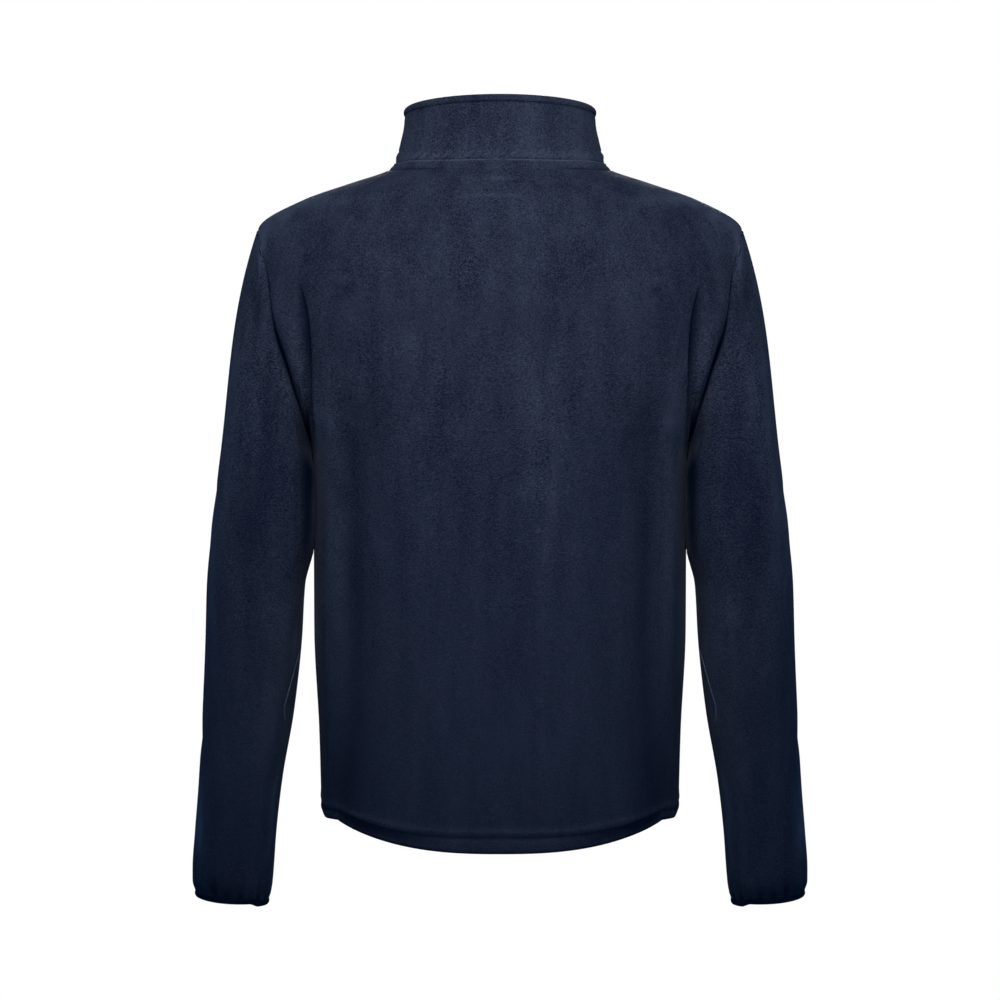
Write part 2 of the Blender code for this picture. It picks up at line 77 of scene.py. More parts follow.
armhole = {"armpit": -0.285, "shoulder": -0.060, "back": 0.082, "front": 0.070, "steps": 12 * fine}
neckline = {"halfWidth": 0.112, "back": (0.0865, 2.0), "front": (0.103, 2.3), "steps": 6 * fine}
chestLevel = -0.150


class Curve:
    # a table's rows joined by cubics that pass through them with no overshoot
    def __init__(self, rows):
        table = np.array(rows, float)
        self.knots, self.values = table[:, 0], table[:, 1:]
        rises = np.diff(self.values, axis=0) / np.diff(self.knots)[:, None]
        below, above = rises[:-1], rises[1:]
        sameWay = below * above > 0
        inner = np.where(sameWay, 2 * below * above / np.where(sameWay, below + above, 1.0), 0.0)
        self.slopes = np.vstack([rises[:1], inner, rises[-1:]])

    def at(self, level):
        level = np.clip(np.asarray(level, float), self.knots[0], self.knots[-1])
        i = np.clip(np.searchsorted(self.knots, level, side="right") - 1, 0, len(self.knots) - 2)
        step = (self.knots[i + 1] - self.knots[i])[..., None]
        t = (level - self.knots[i])[..., None] / step
        start = (1 + 2 * t) * (1 - t) ** 2 * self.values[i] + t * (1 - t) ** 2 * step * self.slopes[i]
        end = t * t * (3 - 2 * t) * self.values[i + 1] - t * t * (1 - t) * step * self.slopes[i + 1]
        return np.moveaxis(start + end, -1, 0)


body, arm = Curve(bodyForm), Curve(armForm)


def smoothstep(low, high, value):
    t = np.clip((value - low) / (high - low), 0.0, 1.0)
    return t * t * (3 - 2 * t)


def bell(distance, width):
    return np.exp(-((distance / width) ** 2))


def bezier(start, leave, arrive, end, t):
    return (1 - t) ** 3 * start + 3 * t * (1 - t) ** 2 * leave + 3 * t * t * (1 - t) * arrive + t**3 * end


def lengthAlong(points):
    # how far each point is from the first, along them
    steps = np.linalg.norm(np.diff(points, axis=0), axis=-1)
    return np.concatenate([0 * steps[:1], steps.cumsum(0)])


def unit(vectors):
    return vectors / np.maximum(np.linalg.norm(vectors, axis=-1, keepdims=True), tiny)


def rounded(share, square):
    return np.maximum(1.0 - np.minimum(np.abs(share), 1.0) ** square, 0.0) ** (1.0 / square)


def oval(turn, square):
    c, s = np.cos(turn), np.sin(turn)
    return np.sign(c) * np.abs(c) ** (2 / square), np.sign(s) * np.abs(s) ** (2 / square)


def signOf(side):
    return -1.0 if side == "back" else 1.0


def section(side, level):
    halfWidth, back, front, square = body.at(level)
    return halfWidth, back if side == "back" else front, square


def depthAt(side, x, level):
    halfWidth, depth, square = section(side, level)
    return depth * rounded(x / halfWidth, square)


def halfWidthAt(side, y, level):
    halfWidth, depth, square = section(side, level)
    return halfWidth * rounded(y / depth, square)


def lastWithin(x, most, within):
    # the largest value up to which a point of the form stays within it
    low, high = most[0] + 0 * x, most[1] + 0 * x
    for _ in range(halvings):
        middle = (low + high) / 2
        stays = within(middle)
        low, high = np.where(stays, middle, low), np.where(stays, high, middle)
    return (low + high) / 2


def topLevelAt(side, x, y):
    # the level at which the upper form passes through a point of the top view
    return lastWithin(x, (chestLevel, bodyForm[-1, 0]), lambda level: (
        (np.abs(x) <= body.at(level)[0]) & (depthAt(side, x, level) >= np.abs(y))))


def formPoint(side, x, angle):
    # where the form is met, going out at this angle from the middle of the chest
    def spot(reach):
        return reach * np.cos(angle), chestLevel + reach * np.sin(angle)

    def within(reach):
        y, level = spot(reach)
        return (np.abs(x) < body.at(level)[0]) & (y < depthAt(side, x, level))

    y, level = spot(lastWithin(x, (0.0, 2 * bodyForm[0, 1]), within))
    return np.stack([x, signOf(side) * y, level], -1)


def armholePoints(side):
    turn = math.pi * np.arange(armhole["steps"] + 1) / armhole["steps"]
    level = armhole["armpit"] + (armhole["shoulder"] - armhole["armpit"]) * (1 - np.cos(turn)) / 2
    y = armhole[side] * np.sin(turn)
    return np.stack([halfWidthAt(side, y, level), signOf(side) * y, level], -1)


def necklinePoints(side, turn):
    reach, square = neckline[side]
    forward, across = oval(turn, square)
    x, y = neckline["halfWidth"] * across, reach * forward
    return np.stack([x, signOf(side) * y, topLevelAt(side, x, y)], -1)


# Creases: soft troughs and ridges along a path in a side view of the garment.
# A path's rows are across, down from the origin, half width and rise, in millimetres.
# A shadow is painted shade along the same kind of path, or painted light where it is positive, with the
# pile's lightness in percent in place of the rise.

views = {"back": (0, -1), "front": (0, 1), "right": (1, 1)}  # axis across, way it faces
creaseUnits = (0.001, -0.001, 0.001, 0.001)
shadowUnits = (0.001, -0.001, 0.001, 0.01)
shownFrom = (0.05, 0.45)  # how squarely the cloth faces the view
creaseReach = 3  # half widths in which a crease shapes the cloth


def smoothPath(path, steps=10):
    # the path's rows joined by a curve through them
    ends = np.vstack([2 * path[0] - path[1], path, 2 * path[-1] - path[-2]])
    t = np.linspace(0, 1, steps, endpoint=False)[:, None]
    rows = [
        0.5 * (2 * b + (c - a) * t + (2 * a - 5 * b + 4 * c - d) * t**2 + (3 * b - a - 3 * c + d) * t**3)
        for a, b, c, d in zip(ends, ends[1:], ends[2:], ends[3:])
    ]
    return np.vstack([*rows, path[-1:]])


def creaseLift(points, normals, crease, units):
    lift = np.zeros(points.shape[:2])
    axis, way = views[crease["view"]]
    shown = smoothstep(*shownFrom, way * normals[..., 1 - axis])
    place = points[..., [axis, 2]]
    for mirror in (1, -1) if crease.get("both") else (1,):
        path = smoothPath(np.array(crease["path"]) * units) * (mirror, 1, 1, 1)
        start, run = path[:-1, :2], np.diff(path[:, :2], axis=0)
        reach = path[:, 2].max() * creaseReach
        within = (place > path[:, :2].min(0) - reach) & (place < path[:, :2].max(0) + reach)
        near = within.all(-1) & (shown > 0)
        if not near.any():
            continue
        spot = place[near][:, None, :]
        t = np.clip(((spot - start) * run).sum(-1) / np.maximum((run * run).sum(-1), tiny), 0, 1)
        away = spot - (start + run * t[..., None])
        distance = np.linalg.norm(away, axis=-1)
        best = distance.argmin(1)
        rows = np.arange(len(best))
        t, distance, away = t[rows, best], distance[rows, best], away[rows, best]
        turned = run[best, 0] * away[:, 1] - run[best, 1] * away[:, 0]
        width, rise = (path[best, 2:] + (path[best + 1, 2:] - path[best, 2:]) * t[:, None]).T
        width = width * (1 + crease.get("skew", 0.0) * mirror * np.sign(turned))
        lift[near] += rise * bell(distance, width) * shown[near]
    return lift


# Cloth pieces


class Cloth:
    # a cut piece: the grid of its outer skin, and the thickness of its cloth in each row
    def __init__(self, name, skin, closed, thickness, grain=0.0, flip=(1, 1, 1)):
        self.name, self.skin, self.closed = name, skin, closed
        self.flip = flip  # brings the left sleeve to where the right one's creases are
        self.grain = grain  # how much more uneven its pile is than the body's
        self.thickness = np.broadcast_to(np.reshape(thickness, (-1, 1)), skin.shape[:2])
        # the pile's lightness: its own brushed tone, together with painted shade and painted highlights
        self.relief, self.innerRelief, self.nap = (np.zeros(skin.shape[:2]) for _ in range(3))
        self.normals = self.skinNormals()
        # lengths along the rows and the columns, which are also the piece's flat coordinates
        self.across, self.along = lengthAlong(self.ring(skin).swapaxes(0, 1)).T, lengthAlong(skin)
        if not closed:
            self.fromSides = np.minimum(self.across, self.across[:, -1:] - self.across)
            self.across = self.across - self.across[:, -1:] / 2
        self.fromFirst, self.fromLast = self.along, self.along[-1:] - self.along

    def ring(self, grid):
        # a closed piece ends with its first column again
        return np.concatenate([grid, grid[:, :1]], 1) if self.closed else grid

    def skinNormals(self):
        p = self.ring(self.skin)
        cross = np.cross(p[1:, 1:] - p[:-1, :-1], p[1:, :-1] - p[:-1, 1:])
        normals = np.zeros_like(p)
        near, far = slice(0, -1), slice(1, None)
        for part in ((near, near), (near, far), (far, near), (far, far)):
            normals[part] += cross
        if self.closed:
            normals[:, 0] += normals[:, -1]
            normals = normals[:, :-1]
        return unit(normals)

    def fold(self, creases, shadows, seams):
        seen = self.skin * self.flip, self.normals * self.flip
        # painted shade, and painted light where a shadow path's lightness is positive
        for shadow in shadows:
            self.nap += creaseLift(*seen, shadow, shadowUnits)
        lift = np.zeros(self.skin.shape[:2])
        for crease in creases:
            rise = creaseLift(*seen, crease, creaseUnits)
            for distance in seams:
                rise = rise * smoothstep(0.0, crease.get("fade", cloth["foldFade"]), distance)
            lift += rise
        self.skin = self.skin + self.normals * lift[..., None]
        # painted shade in each crease's trough and painted light on its ridge
        self.nap += lift * cloth["creaseShade"]
        self.normals = self.skinNormals()
        self.directions, self.mitres = self.normals.copy(), np.ones(self.skin.shape[:2])
        self.apart = np.zeros_like(self.skin)

    def dipSeams(self, seams):
        aside, level = np.abs(self.skin[..., 0]), self.skin[..., 2]
        share = 1 - (1 - smoothstep(*cloth["napeReach"], aside)) * smoothstep(*cloth["napeLevels"], level)
        for distance in seams:
            # painted shade along each seam's dip, and a finer line of painted shade in its middle
            near = share * bell(distance, cloth["seamWidth"])
            self.relief = self.relief - cloth["seamDip"] * near
            line = share * bell(distance, cloth["seamLine"])
            self.nap = self.nap - cloth["seamShade"] * near - cloth["lineShade"] * line

    def wayIn(self, at, before, after, inside):
        way = self.skin[inside] - self.skin[at]
        for crossed in (self.skin[after] - self.skin[before], self.normals[at]):
            crossed = unit(crossed)
            way = way - crossed * (way @ crossed)
        return unit(way)

    def edge(self):
        # each place on the piece's edge, with the way from it into the piece
        rows, columns = self.skin.shape[:2]
        found = {}
        for row, inside in ((0, 1), (rows - 1, rows - 2)):
            for c in range(columns):
                beside = (k % columns if self.closed else min(max(k, 0), columns - 1) for k in (c - 1, c + 1))
                found[row, c] = self.wayIn((row, c), *((row, k) for k in beside), (inside, c))
        for column, inside in () if self.closed else ((0, 1), (columns - 1, columns - 2)):
            for r in range(rows):
                before, after = (max(r - 1, 0), column), (min(r + 1, rows - 1), column)
                way = self.wayIn((r, column), before, after, (r, inside))
                found[r, column] = unit(way + found.get((r, column), 0.0))
        return found

    def cornerShare(self, at):
        rows, columns = self.skin.shape[:2]
        turns = at[1] in (0, columns - 1) and at[0] in (0, panelRows["armpit"], rows - 1)
        return 0.5 if turns and not self.closed else 1.0

    def blendDirections(self):
        # what the seams ask of a wall's direction fades into the piece
        change = self.directions - self.normals
        total = change.copy()
        onEdge = np.zeros(self.skin.shape[:2], bool)
        onEdge[[0, -1]] = True
        edges = [(change[:1], self.fromFirst), (change[-1:], self.fromLast)]
        if not self.closed:
            onEdge[:, [0, -1]] = True
            edges += [(change[:, :1], self.across - self.across[:, :1])]
            edges += [(change[:, -1:], self.across[:, -1:] - self.across)]
        for part, distance in edges:
            share = 1 - smoothstep(0.0, cloth["seamBlend"], distance[:, : self.skin.shape[1]])
            total = total + part * (share * (share < 1))[..., None]
        self.directions = np.where(onEdge[..., None], self.directions, unit(self.normals + total - change))

    def build(self, finish, slot, replaces):
        self.blendDirections()
        depth = (self.thickness - self.innerRelief) * self.mitres
        inner = self.skin - self.directions * depth[..., None] + self.apart
        self.outer = self.skin + self.directions * (self.relief * self.mitres)[..., None] + self.apart
        outer, inner, nap, along = map(self.ring, (self.outer, inner, self.nap, self.along))
        number = np.arange(nap.size).reshape(nap.shape)
        layers = {"number": number, "nap": nap, "grain": np.full(nap.shape, self.grain)}
        sheet = bmesh.new()
        addGrid(sheet, outer, layers, np.dstack([self.across, along]))
        number = sheet.verts.layers.float["number"]
        raised = bmesh.ops.extrude_face_region(sheet, geom=sheet.faces[:], use_keep_orig=True)
        for vert in raised["geom"]:
            if isinstance(vert, bmesh.types.BMVert):
                vert.co = inner.reshape(-1, 3)[int(vert[number])]
        sheet.verts.layers.float.remove(number)
        self.object = addPiece(self.name, sheet, finish, replaces)


def addGrid(shape, places, layers, flat=None):
    # a grid of places with its values and flat coordinates, joined where its edges meet
    rows, columns = places.shape[:2]
    floats = shape.verts.layers.float
    layers = [(floats.get(name) or floats.new(name), values) for name, values in layers.items()]
    uv = None if flat is None else shape.loops.layers.uv.new("flat")
    made = bmesh.ops.create_grid(shape, x_segments=columns - 1, y_segments=rows - 1, size=1.0)["verts"]
    for i, vert in enumerate(made):
        at = divmod(i, columns)
        vert.co = places[at]
        for layer, values in layers:
            vert[layer] = values[at]
        for loop in vert.link_loops if uv else ():
            loop[uv].uv = flat[at]
    bmesh.ops.remove_doubles(shape, verts=made, dist=weld)


def joinSeams(pieces):
    # points that are sewn together share the direction of their walls
    meeting = {}
    for piece in pieces:
        for at, way in piece.edge().items():
            spot = tuple(np.round(piece.skin[at], 5))
            meeting.setdefault(spot, []).append((piece, at, way))
    for group in meeting.values():
        shared = unit(sum(piece.normals[at] * piece.cornerShare(at) for piece, at, _ in group))
        total = sum(way for _, _, way in group)
        for piece, at, way in group:
            piece.directions[at] = shared
            piece.mitres[at] = min(1 / max(float(shared @ piece.normals[at]), weld), cloth["mostMitre"])
            if len(group) > 1:
                others = (total - way) / (len(group) - 1)
                room = cloth["seamGap"] * (1 + cloth["turnedBackRoom"] * max(float(way @ others), 0.0))
                apart = way - others
                piece.apart[at] = unit(apart - shared * (apart @ shared)) * room * len(group) / 4


def link(name, data):
    made = bpy.data.objects.new(name, data)
    bpy.context.scene.collection.objects.link(made)
    return made


def linkMesh(name, shape, finish):
    mesh = bpy.data.meshes.new(name)
    shape.to_mesh(mesh)
    shape.free()
    mesh.materials.append(finish)
    return link(name, mesh)


def addPiece(name, shape, finish, replaces=()):
    bmesh.ops.recalc_face_normals(shape, faces=shape.faces)
    made = linkMesh(name, shape, finish)
    made.data.shade_smooth()
    made.data.set_sharp_from_angle(angle=math.radians(cloth["sharpEdge"]))
    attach(made, "root")
    if replaces:
        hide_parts(*replaces)
    return made


# Shader wiring


class Wire:
    # a socket that can be worked with as a number
    def __init__(self, finish, socket):
        self.finish, self.socket = finish, socket

    def reckon(self, operation, first, second):
        return self.finish.node("ShaderNodeMath", {"operation": operation}, {0: first, 1: second})

    def __add__(self, other):
        return self.reckon("ADD", self, other)

    def __sub__(self, other):
        return self.reckon("SUBTRACT", self, other)

    def __rsub__(self, other):
        return self.reckon("SUBTRACT", other, self)

    def __mul__(self, other):
        return self.reckon("MULTIPLY", self, other)

    __radd__, __rmul__ = __add__, __mul__

    def within(self, low, high):
        return self.reckon("MINIMUM", self.reckon("MAXIMUM", self, low), high)


class Finish:
    # a material or a world, and its nodes
    def __init__(self, owner):
        self.owner = owner
        owner.use_nodes = True
        self.tree = owner.node_tree
        self.tree.nodes.clear()

    def node(self, kind, settings, sockets, output=0):
        made = self.tree.nodes.new(kind)
        for key, value in settings.items():
            setattr(made, key, value)
        for key, value in sockets.items():
            if isinstance(value, Wire):
                self.tree.links.new(value.socket, made.inputs[key])
            else:
                made.inputs[key].default_value = value
        return Wire(self, made.outputs[output]) if made.outputs else None

    def where(self):
        return self.node("ShaderNodeTexCoord", {}, {}, "Object")

    def noise(self, scale, stretch=(1, 1, 1), detail=2.0, roughness=0.5):
        where = self.node("ShaderNodeMapping", {}, {"Vector": self.where(), "Scale": stretch})
        sockets = {"Vector": where, "Scale": scale, "Detail": detail, "Roughness": roughness}
        return self.node("ShaderNodeTexNoise", {}, sockets)

    def ramp(self, value, low, high):
        sockets = {"Value": value, "From Min": low, "From Max": high, "To Min": 0.0, "To Max": 1.0}
        return self.node("ShaderNodeMapRange", {"interpolation_type": "SMOOTHSTEP"}, sockets)

    def blend(self, factor, first, second):
        settings = {"data_type": "RGBA", "clamp_factor": False}
        return self.node("ShaderNodeMix", settings, {0: factor, 6: first, 7: second}, 2)

    def bump(self, strength, depth, height):
        return self.node("ShaderNodeBump", {}, {"Strength": strength, "Distance": depth, "Height": height})

    def shader(self, colour, roughness, specular, others):
        sockets = {"Base Color": colour, "Roughness": roughness, "Specular IOR Level": specular, **others}
        return self.node("ShaderNodeBsdfPrincipled", {}, sockets)

    def surface(self, shader, output="ShaderNodeOutputMaterial"):
        self.node(output, {}, {"Surface": shader})
        return self.owner


fleeceLook = {
    "dark": (0.0074, 0.0108, 0.0240, 1.0),
    "light": (0.0505, 0.0605, 0.0915, 1.0),
    "lightness": 0.40, "brushAndHighlightFrom": 0.45, "worn": 1.5,  # painted highlights and brushed nap lighten past the light colour
    "paintedShadow": (0.0009, 0.0058, 0.0190, 1.0),  # a painted shadow's colour, deep between two folds
    "paintedShadowFrom": (-0.75, -0.12),
    "across": (780.0, (0.60, 0.60, 1.55), 2.0, 0.6),  # the pile lies in short waves below the chest,
    "even": (780.0, (0.9, 0.9, 1.1), 2.0, 0.6),  # and evenly above it
    "evenFrom": (-0.20, -0.10),
    "pileMiddle": 0.26, "pileShare": 2.42,
    "napShare": 1.6,  # lighter pile is more uneven too
    "tuft": (230.0, (1, 1, 0.8), 2.0, 0.6),  # scale, stretch, detail and roughness
    "tuftShare": 0.25,
    "mottle": (75.0, (1, 1, 0.45), 1.0), "mottleShare": 0.30,
    "streak": (34.0, (1, 1, 0.13), 3.0, 0.6), "streakShare": 0.85,
    "raised": (-0.66, -0.12), "calm": 0.35,  # lower down the pile is calmer
    "roughness": 0.92, "specular": 0.03, "bump": 0.60, "pileDepth": 0.0011,
    "pileHeight": 0.6,  # of a tuft's
    "sheen": {"Sheen Weight": 0.05, "Sheen Roughness": 0.5, "Sheen Tint": (0.55, 0.62, 0.85, 1.0)},
}
elasticLook = {
    "dark": (0.0004, 0.0040, 0.0150, 1),
    "light": (0.0016, 0.0092, 0.0270, 1),
    "ribs": {"Scale": 260.0, "Distortion": 1.0, "Detail": 1.0},
    "pile": 500.0, "pileHeight": 0.5,  # of a rib's
    "roughness": 0.8, "specular": 0.12, "bump": 0.5, "depth": 0.0004,
}
threadLook = {
    "dark": (0.003, 0.006, 0.015, 1),
    "light": (0.009, 0.014, 0.030, 1),
    "twist": 1800.0, "roughness": 0.6, "specular": 0.15, "bump": 0.3, "depth": 0.0001,
}


def fleeceFinish():
    look = fleeceLook
    finish = Finish(bpy.data.materials.new("navyFleece"))
    level = finish.node("ShaderNodeSeparateXYZ", {}, {0: finish.where()}, 2)
    across, even, tuft, mottle, streak = (
        finish.noise(*look[part]) for part in ("across", "even", "tuft", "mottle", "streak"))
    pile = across + (even - across) * finish.ramp(level, *look["evenFrom"])
    nap, grain = (
        finish.node("ShaderNodeAttribute", {"attribute_name": layer}, {}, 2) for layer in ("nap", "grain"))
    uneven = (
        (pile * pile - look["pileMiddle"]) * look["pileShare"] + (tuft - 0.5) * look["tuftShare"]
        + (mottle - 0.5) * look["mottleShare"] + (streak - 0.5) * look["streakShare"]
    )
    raised = finish.ramp(level, *look["raised"]) * (1 - look["calm"]) + look["calm"]
    # the painted shade and painted highlights in the mesh's lightness add to the pile's own unevenness here
    light = uneven * raised * (nap * look["napShare"] + 1) * (grain + 1) + nap + look["lightness"]
    light = light.within(0, 1) + nap.within(look["brushAndHighlightFrom"], look["worn"]) - look["brushAndHighlightFrom"]
    colour = finish.blend(light, look["dark"], look["light"])
    bump = finish.bump(look["bump"], look["pileDepth"], pile * look["pileHeight"] + tuft)
    raisedPile = finish.shader(colour, look["roughness"], look["specular"], {"Normal": bump, **look["sheen"]})
    # a painted shadow: a dark shader mixed in where the painted shade runs deepest
    paintedShadow = finish.shader(look["paintedShadow"], 1.0, 0.0, {"Normal": bump})
    depth = 1 - finish.ramp(nap, *look["paintedShadowFrom"])
    return finish.surface(finish.node("ShaderNodeMixShader", {}, {0: depth, 1: raisedPile, 2: paintedShadow}))


def yarnFinish(finish, look, height, shade):
    bump = finish.bump(look["bump"], look["depth"], height)
    colour = finish.blend(shade, look["dark"], look["light"])
    return finish.surface(finish.shader(colour, look["roughness"], look["specular"], {"Normal": bump}))


def elasticFinish():
    finish = Finish(bpy.data.materials.new("navyElastic"))
    sockets = {"Vector": finish.node("ShaderNodeUVMap", {"uv_map": "flat"}, {}), **elasticLook["ribs"]}
    ribs = finish.node("ShaderNodeTexWave", {"wave_type": "BANDS", "bands_direction": "X"}, sockets)
    pile = finish.noise(elasticLook["pile"]) * elasticLook["pileHeight"]
    return yarnFinish(finish, elasticLook, ribs + pile, ribs * (1 - elasticLook["pileHeight"]) + pile)


def threadFinish():
    finish = Finish(bpy.data.materials.new("navyThread"))
    twist = finish.noise(threadLook["twist"])
    return yarnFinish(finish, threadLook, twist, twist)


# Panels

panelForm = {
    "columns": (0.0, 0.075, 0.15, 0.225, 0.30, 0.37, 0.45, 0.55, 0.65, 0.74, 0.82, 0.89, 0.95, 1.0),
    "neckColumn": 6, "shoulderCrowding": 1.4, "topSpread": 1.5,
    "topRows": 0.7,  # how much the rows crowd towards the neck
    "lastColumns": (12.86, 12.91, 12.95, 12.98, 13.0),  # they crowd beside the seam
    "lowerSteps": 80,
}
hem = {
    "sideLevel": -0.645,
    "dip": {"back": 0.0285, "front": 0.010},
    "reach": 0.90,
    "corner": 0.0070, "cornerFrom": (0.970, 1.0),  # it rises to the side seams
    "wide": 2.6, "round": 0.90,
    "rows": 0.001 * np.array((0, 0.4, 1, 1.8, 3, 5, 7.5, 10, 12, 13.7, 15, 16, 17, 18.2, 19.6, 21.2, 23, 25.2,
                              28, 31.5, 35)),
    "share": [(0.0, 0.93), (0.28, 0.87), (0.53, 0.77), (0.83, 0.60), (0.96, 0.50), (1.0, 0.50)],  # of these
    "stitchRow": 12, "stitchHeight": 0.0170, "bandBlend": 0.001,
    "valley": 0.0015, "valleyWidth": 0.0019, "valleyShade": 0.20,  # along the stitches, with painted shade in it
    "swell": 0.0012,  # of the band below them
    "ridge": 0.0018, "ridgeHeight": 0.0065, "ridgeWidth": 0.0034, "ridgeLight": 0.22,  # above them, with a painted highlight on it
    "ridgeFade": 0.030,
    "sideShare": 0.3,  # what is left of all three at the side seams
    # painted light on the band, and painted shade along its turned bottom edge
    "bandLight": 0.10, "edge": 0.0021, "edgeShade": 0.70,
    "pucker": 0.0005, "puckerWidth": 0.006, "puckerSpacing": 0.0095,
}
panelRows = {"armpit": len(hem["rows"]) - 1 + panelForm["lowerSteps"]}

panelCreases = {
    "back": [
        # the fold that hangs from the shoulder blade, steep on its inner side
        {"both": True, "skew": 0.55, "fade": 0.004, "path": [(197.5, 119, 2, 0), (195.5, 124, 3, -4.5),
            (191.8, 140, 4.2, -8.5), (189.2, 157, 4.8, -11), (187.6, 178, 5, -12), (187.2, 203, 5, -12),
            (186.8, 232, 4.8, -10.5), (185.8, 258, 4.4, -7), (185, 283, 4, -2.5)]},
        # the roll between it and the armhole
        {"both": True, "fade": 0.007, "path": [(226, 120, 7, 0), (216, 145, 8, 3), (206, 170, 9, 5.5),
            (199, 195, 8, 6.5), (193.5, 222, 6, 4.5), (188.5, 250, 5, 1.5), (185, 268, 4, 0)]},
        # long soft waves down the sides
        {"both": True, "skew": -0.2, "path": [(140, 225, 18, 0), (143.5, 300, 17, -2.6),
            (144, 400, 16, -4.2), (145, 500, 15, -4.4), (146, 580, 14, -3.4), (147, 632, 13, 0)]},
        {"both": True, "path": [(168, 270, 8, 0), (167.5, 330, 10, 2.2), (166, 440, 11, 2.6),
            (165, 540, 10, 2), (164, 620, 9, 0)]},
        {"path": [(-92, 300, 16, 0), (-98, 380, 18, -1.6), (-100, 480, 17, -1.2), (-104, 560, 14, 0)]},
        {"path": [(98, 330, 14, 0), (94, 420, 18, -1.4), (98, 520, 16, -1.2), (101, 590, 14, 0)]},
        # small wrinkles under the collar
        {"path": [(-42, 24, 3, 0), (-18, 25, 3.6, 1), (12, 23.8, 3.4, 0.8), (40, 25, 3, 0)]},
        {"path": [(-48, 37.5, 3, 0), (-22, 38.5, 3.6, 1.4), (10, 37.8, 3.6, 1.1), (50, 39, 3, 0)]},
        {"both": True, "path": [(80, 33, 3.4, 0), (105, 36.2, 4.2, -1.2), (136, 40, 3.6, 0)]},
    ],
    "front": [
        {"both": True, "skew": 0.45, "fade": 0.004, "path": [(196, 128, 3, 0), (192.5, 142, 4.5, -5.5),
            (188.5, 162, 5.5, -10), (186, 188, 5.8, -11.5), (185, 215, 5.6, -10), (184.5, 242, 5, -6),
            (184, 268, 4.5, -1.5)]},
        {"both": True, "fade": 0.007, "path": [(214, 140, 8, 0), (206, 165, 9, 3.5), (198.5, 192, 8, 4.5),
            (193, 222, 6, 3), (189, 250, 5, 0)]},
        {"both": True, "path": [(136, 250, 18, 0), (140, 360, 17, -3.4), (141, 480, 16, -3.8),
            (144, 600, 14, 0)]},
        {"path": [(-60, 330, 18, 0), (-66, 430, 20, -2.2), (-62, 540, 18, 0)]},
        {"path": [(74, 290, 16, 0), (70, 400, 20, -2), (78, 520, 18, -1.2), (80, 590, 14, 0)]},
        {"path": [(-70, 70, 7, 0), (-30, 86, 9, -2.2), (20, 88, 9, -1.8), (68, 72, 7, 0)]},
    ],
}
panelShadows = {
    "back": [
        # painted shade in the fold, and on down the side where the sleeve hangs against it
        {"both": True, "skew": 0.45, "path": [(196.8, 119, 3, 0), (193, 134, 3.8, -26),
            (190.2, 152, 4.2, -34), (189, 178, 4.4, -32), (188.4, 205, 4.2, -22), (187.6, 232, 4, -14),
            (188.2, 258, 3.4, -24), (187.8, 283, 3.4, -46), (186.4, 340, 3.4, -52), (185, 385, 3.2, -30),
            (183.5, 430, 3, -10), (181, 520, 3.6, -10), (179, 580, 6, -26), (177, 640, 8, -34)]},
        # painted shade along the armhole seam lower down
        {"both": True, "path": [(215, 165, 2.6, 0), (207.5, 190, 3, -12), (199.5, 216.5, 3, -16),
            (195.5, 233, 3, -14), (190.5, 250, 3, -12), (188, 272, 3, 0)]},
        # painted highlights on small wrinkles under the collar
        {"path": [(-52, 4, 1.4, 0), (-34, 3.4, 1.5, 30), (4, 3, 1.5, 46), (36, 3.4, 1.5, 34),
            (60, 4.2, 1.4, 0)]},
        {"path": [(-36, 16.8, 1.6, 0), (-20, 16, 2, 26), (-4, 15.8, 2, 34), (14, 16, 2, 20),
            (30, 17, 1.6, 0)]},
        {"path": [(-46, 35, 1.6, 0), (-26, 34, 2, 30), (-6, 33.6, 2, 36), (18, 33.8, 2, 24),
            (40, 35, 1.6, 0)]},
        # painted shade on the band of the hem here
        {"both": True, "path": [(55, 662, 5, 0), (85, 659.5, 5.5, -28), (100, 657, 5.5, -40),
            (120, 653, 5.5, -42), (136, 648, 5.2, -42), (150, 643, 4.5, -22), (160, 639, 4, 0)]},
        # painted shade in the long waves and low on the sides, and painted light on the ridge beside them
        {"both": True, "path": [(144, 205, 12, 0), (142.5, 240, 11, -14), (143.5, 310, 10, -12),
            (144, 400, 10, -14), (144, 480, 11, -10), (145, 560, 12, -8), (150, 630, 14, -5)]},
        {"both": True, "path": [(167, 180, 7, 0), (167.2, 240, 8, 12), (165, 320, 9, 8), (165.5, 420, 9, 3),
            (165, 500, 9, 0)]},
        {"both": True, "path": [(155, 500, 16, 0), (156, 560, 19, -7), (156, 600, 22, -16),
            (154, 640, 24, -18)]},
    ],
    "front": [
        # painted shade in the fold at the front, and in the long waves
        {"both": True, "skew": 0.35, "path": [(195, 128, 3, 0), (191.5, 144, 4, -22), (188.5, 165, 4.4, -34),
            (186.8, 190, 4.6, -32), (185.8, 220, 4.4, -26), (185, 245, 4.4, -30), (184.5, 285, 5, -50),
            (184, 360, 4.6, -40), (182, 440, 4.2, -18), (179.5, 560, 5, -18), (177.5, 640, 7, -30)]},
        {"both": True, "path": [(138, 230, 12, 0), (140, 340, 11, -10), (141, 480, 11, -10),
            (146, 620, 14, -6)]},
    ],
}
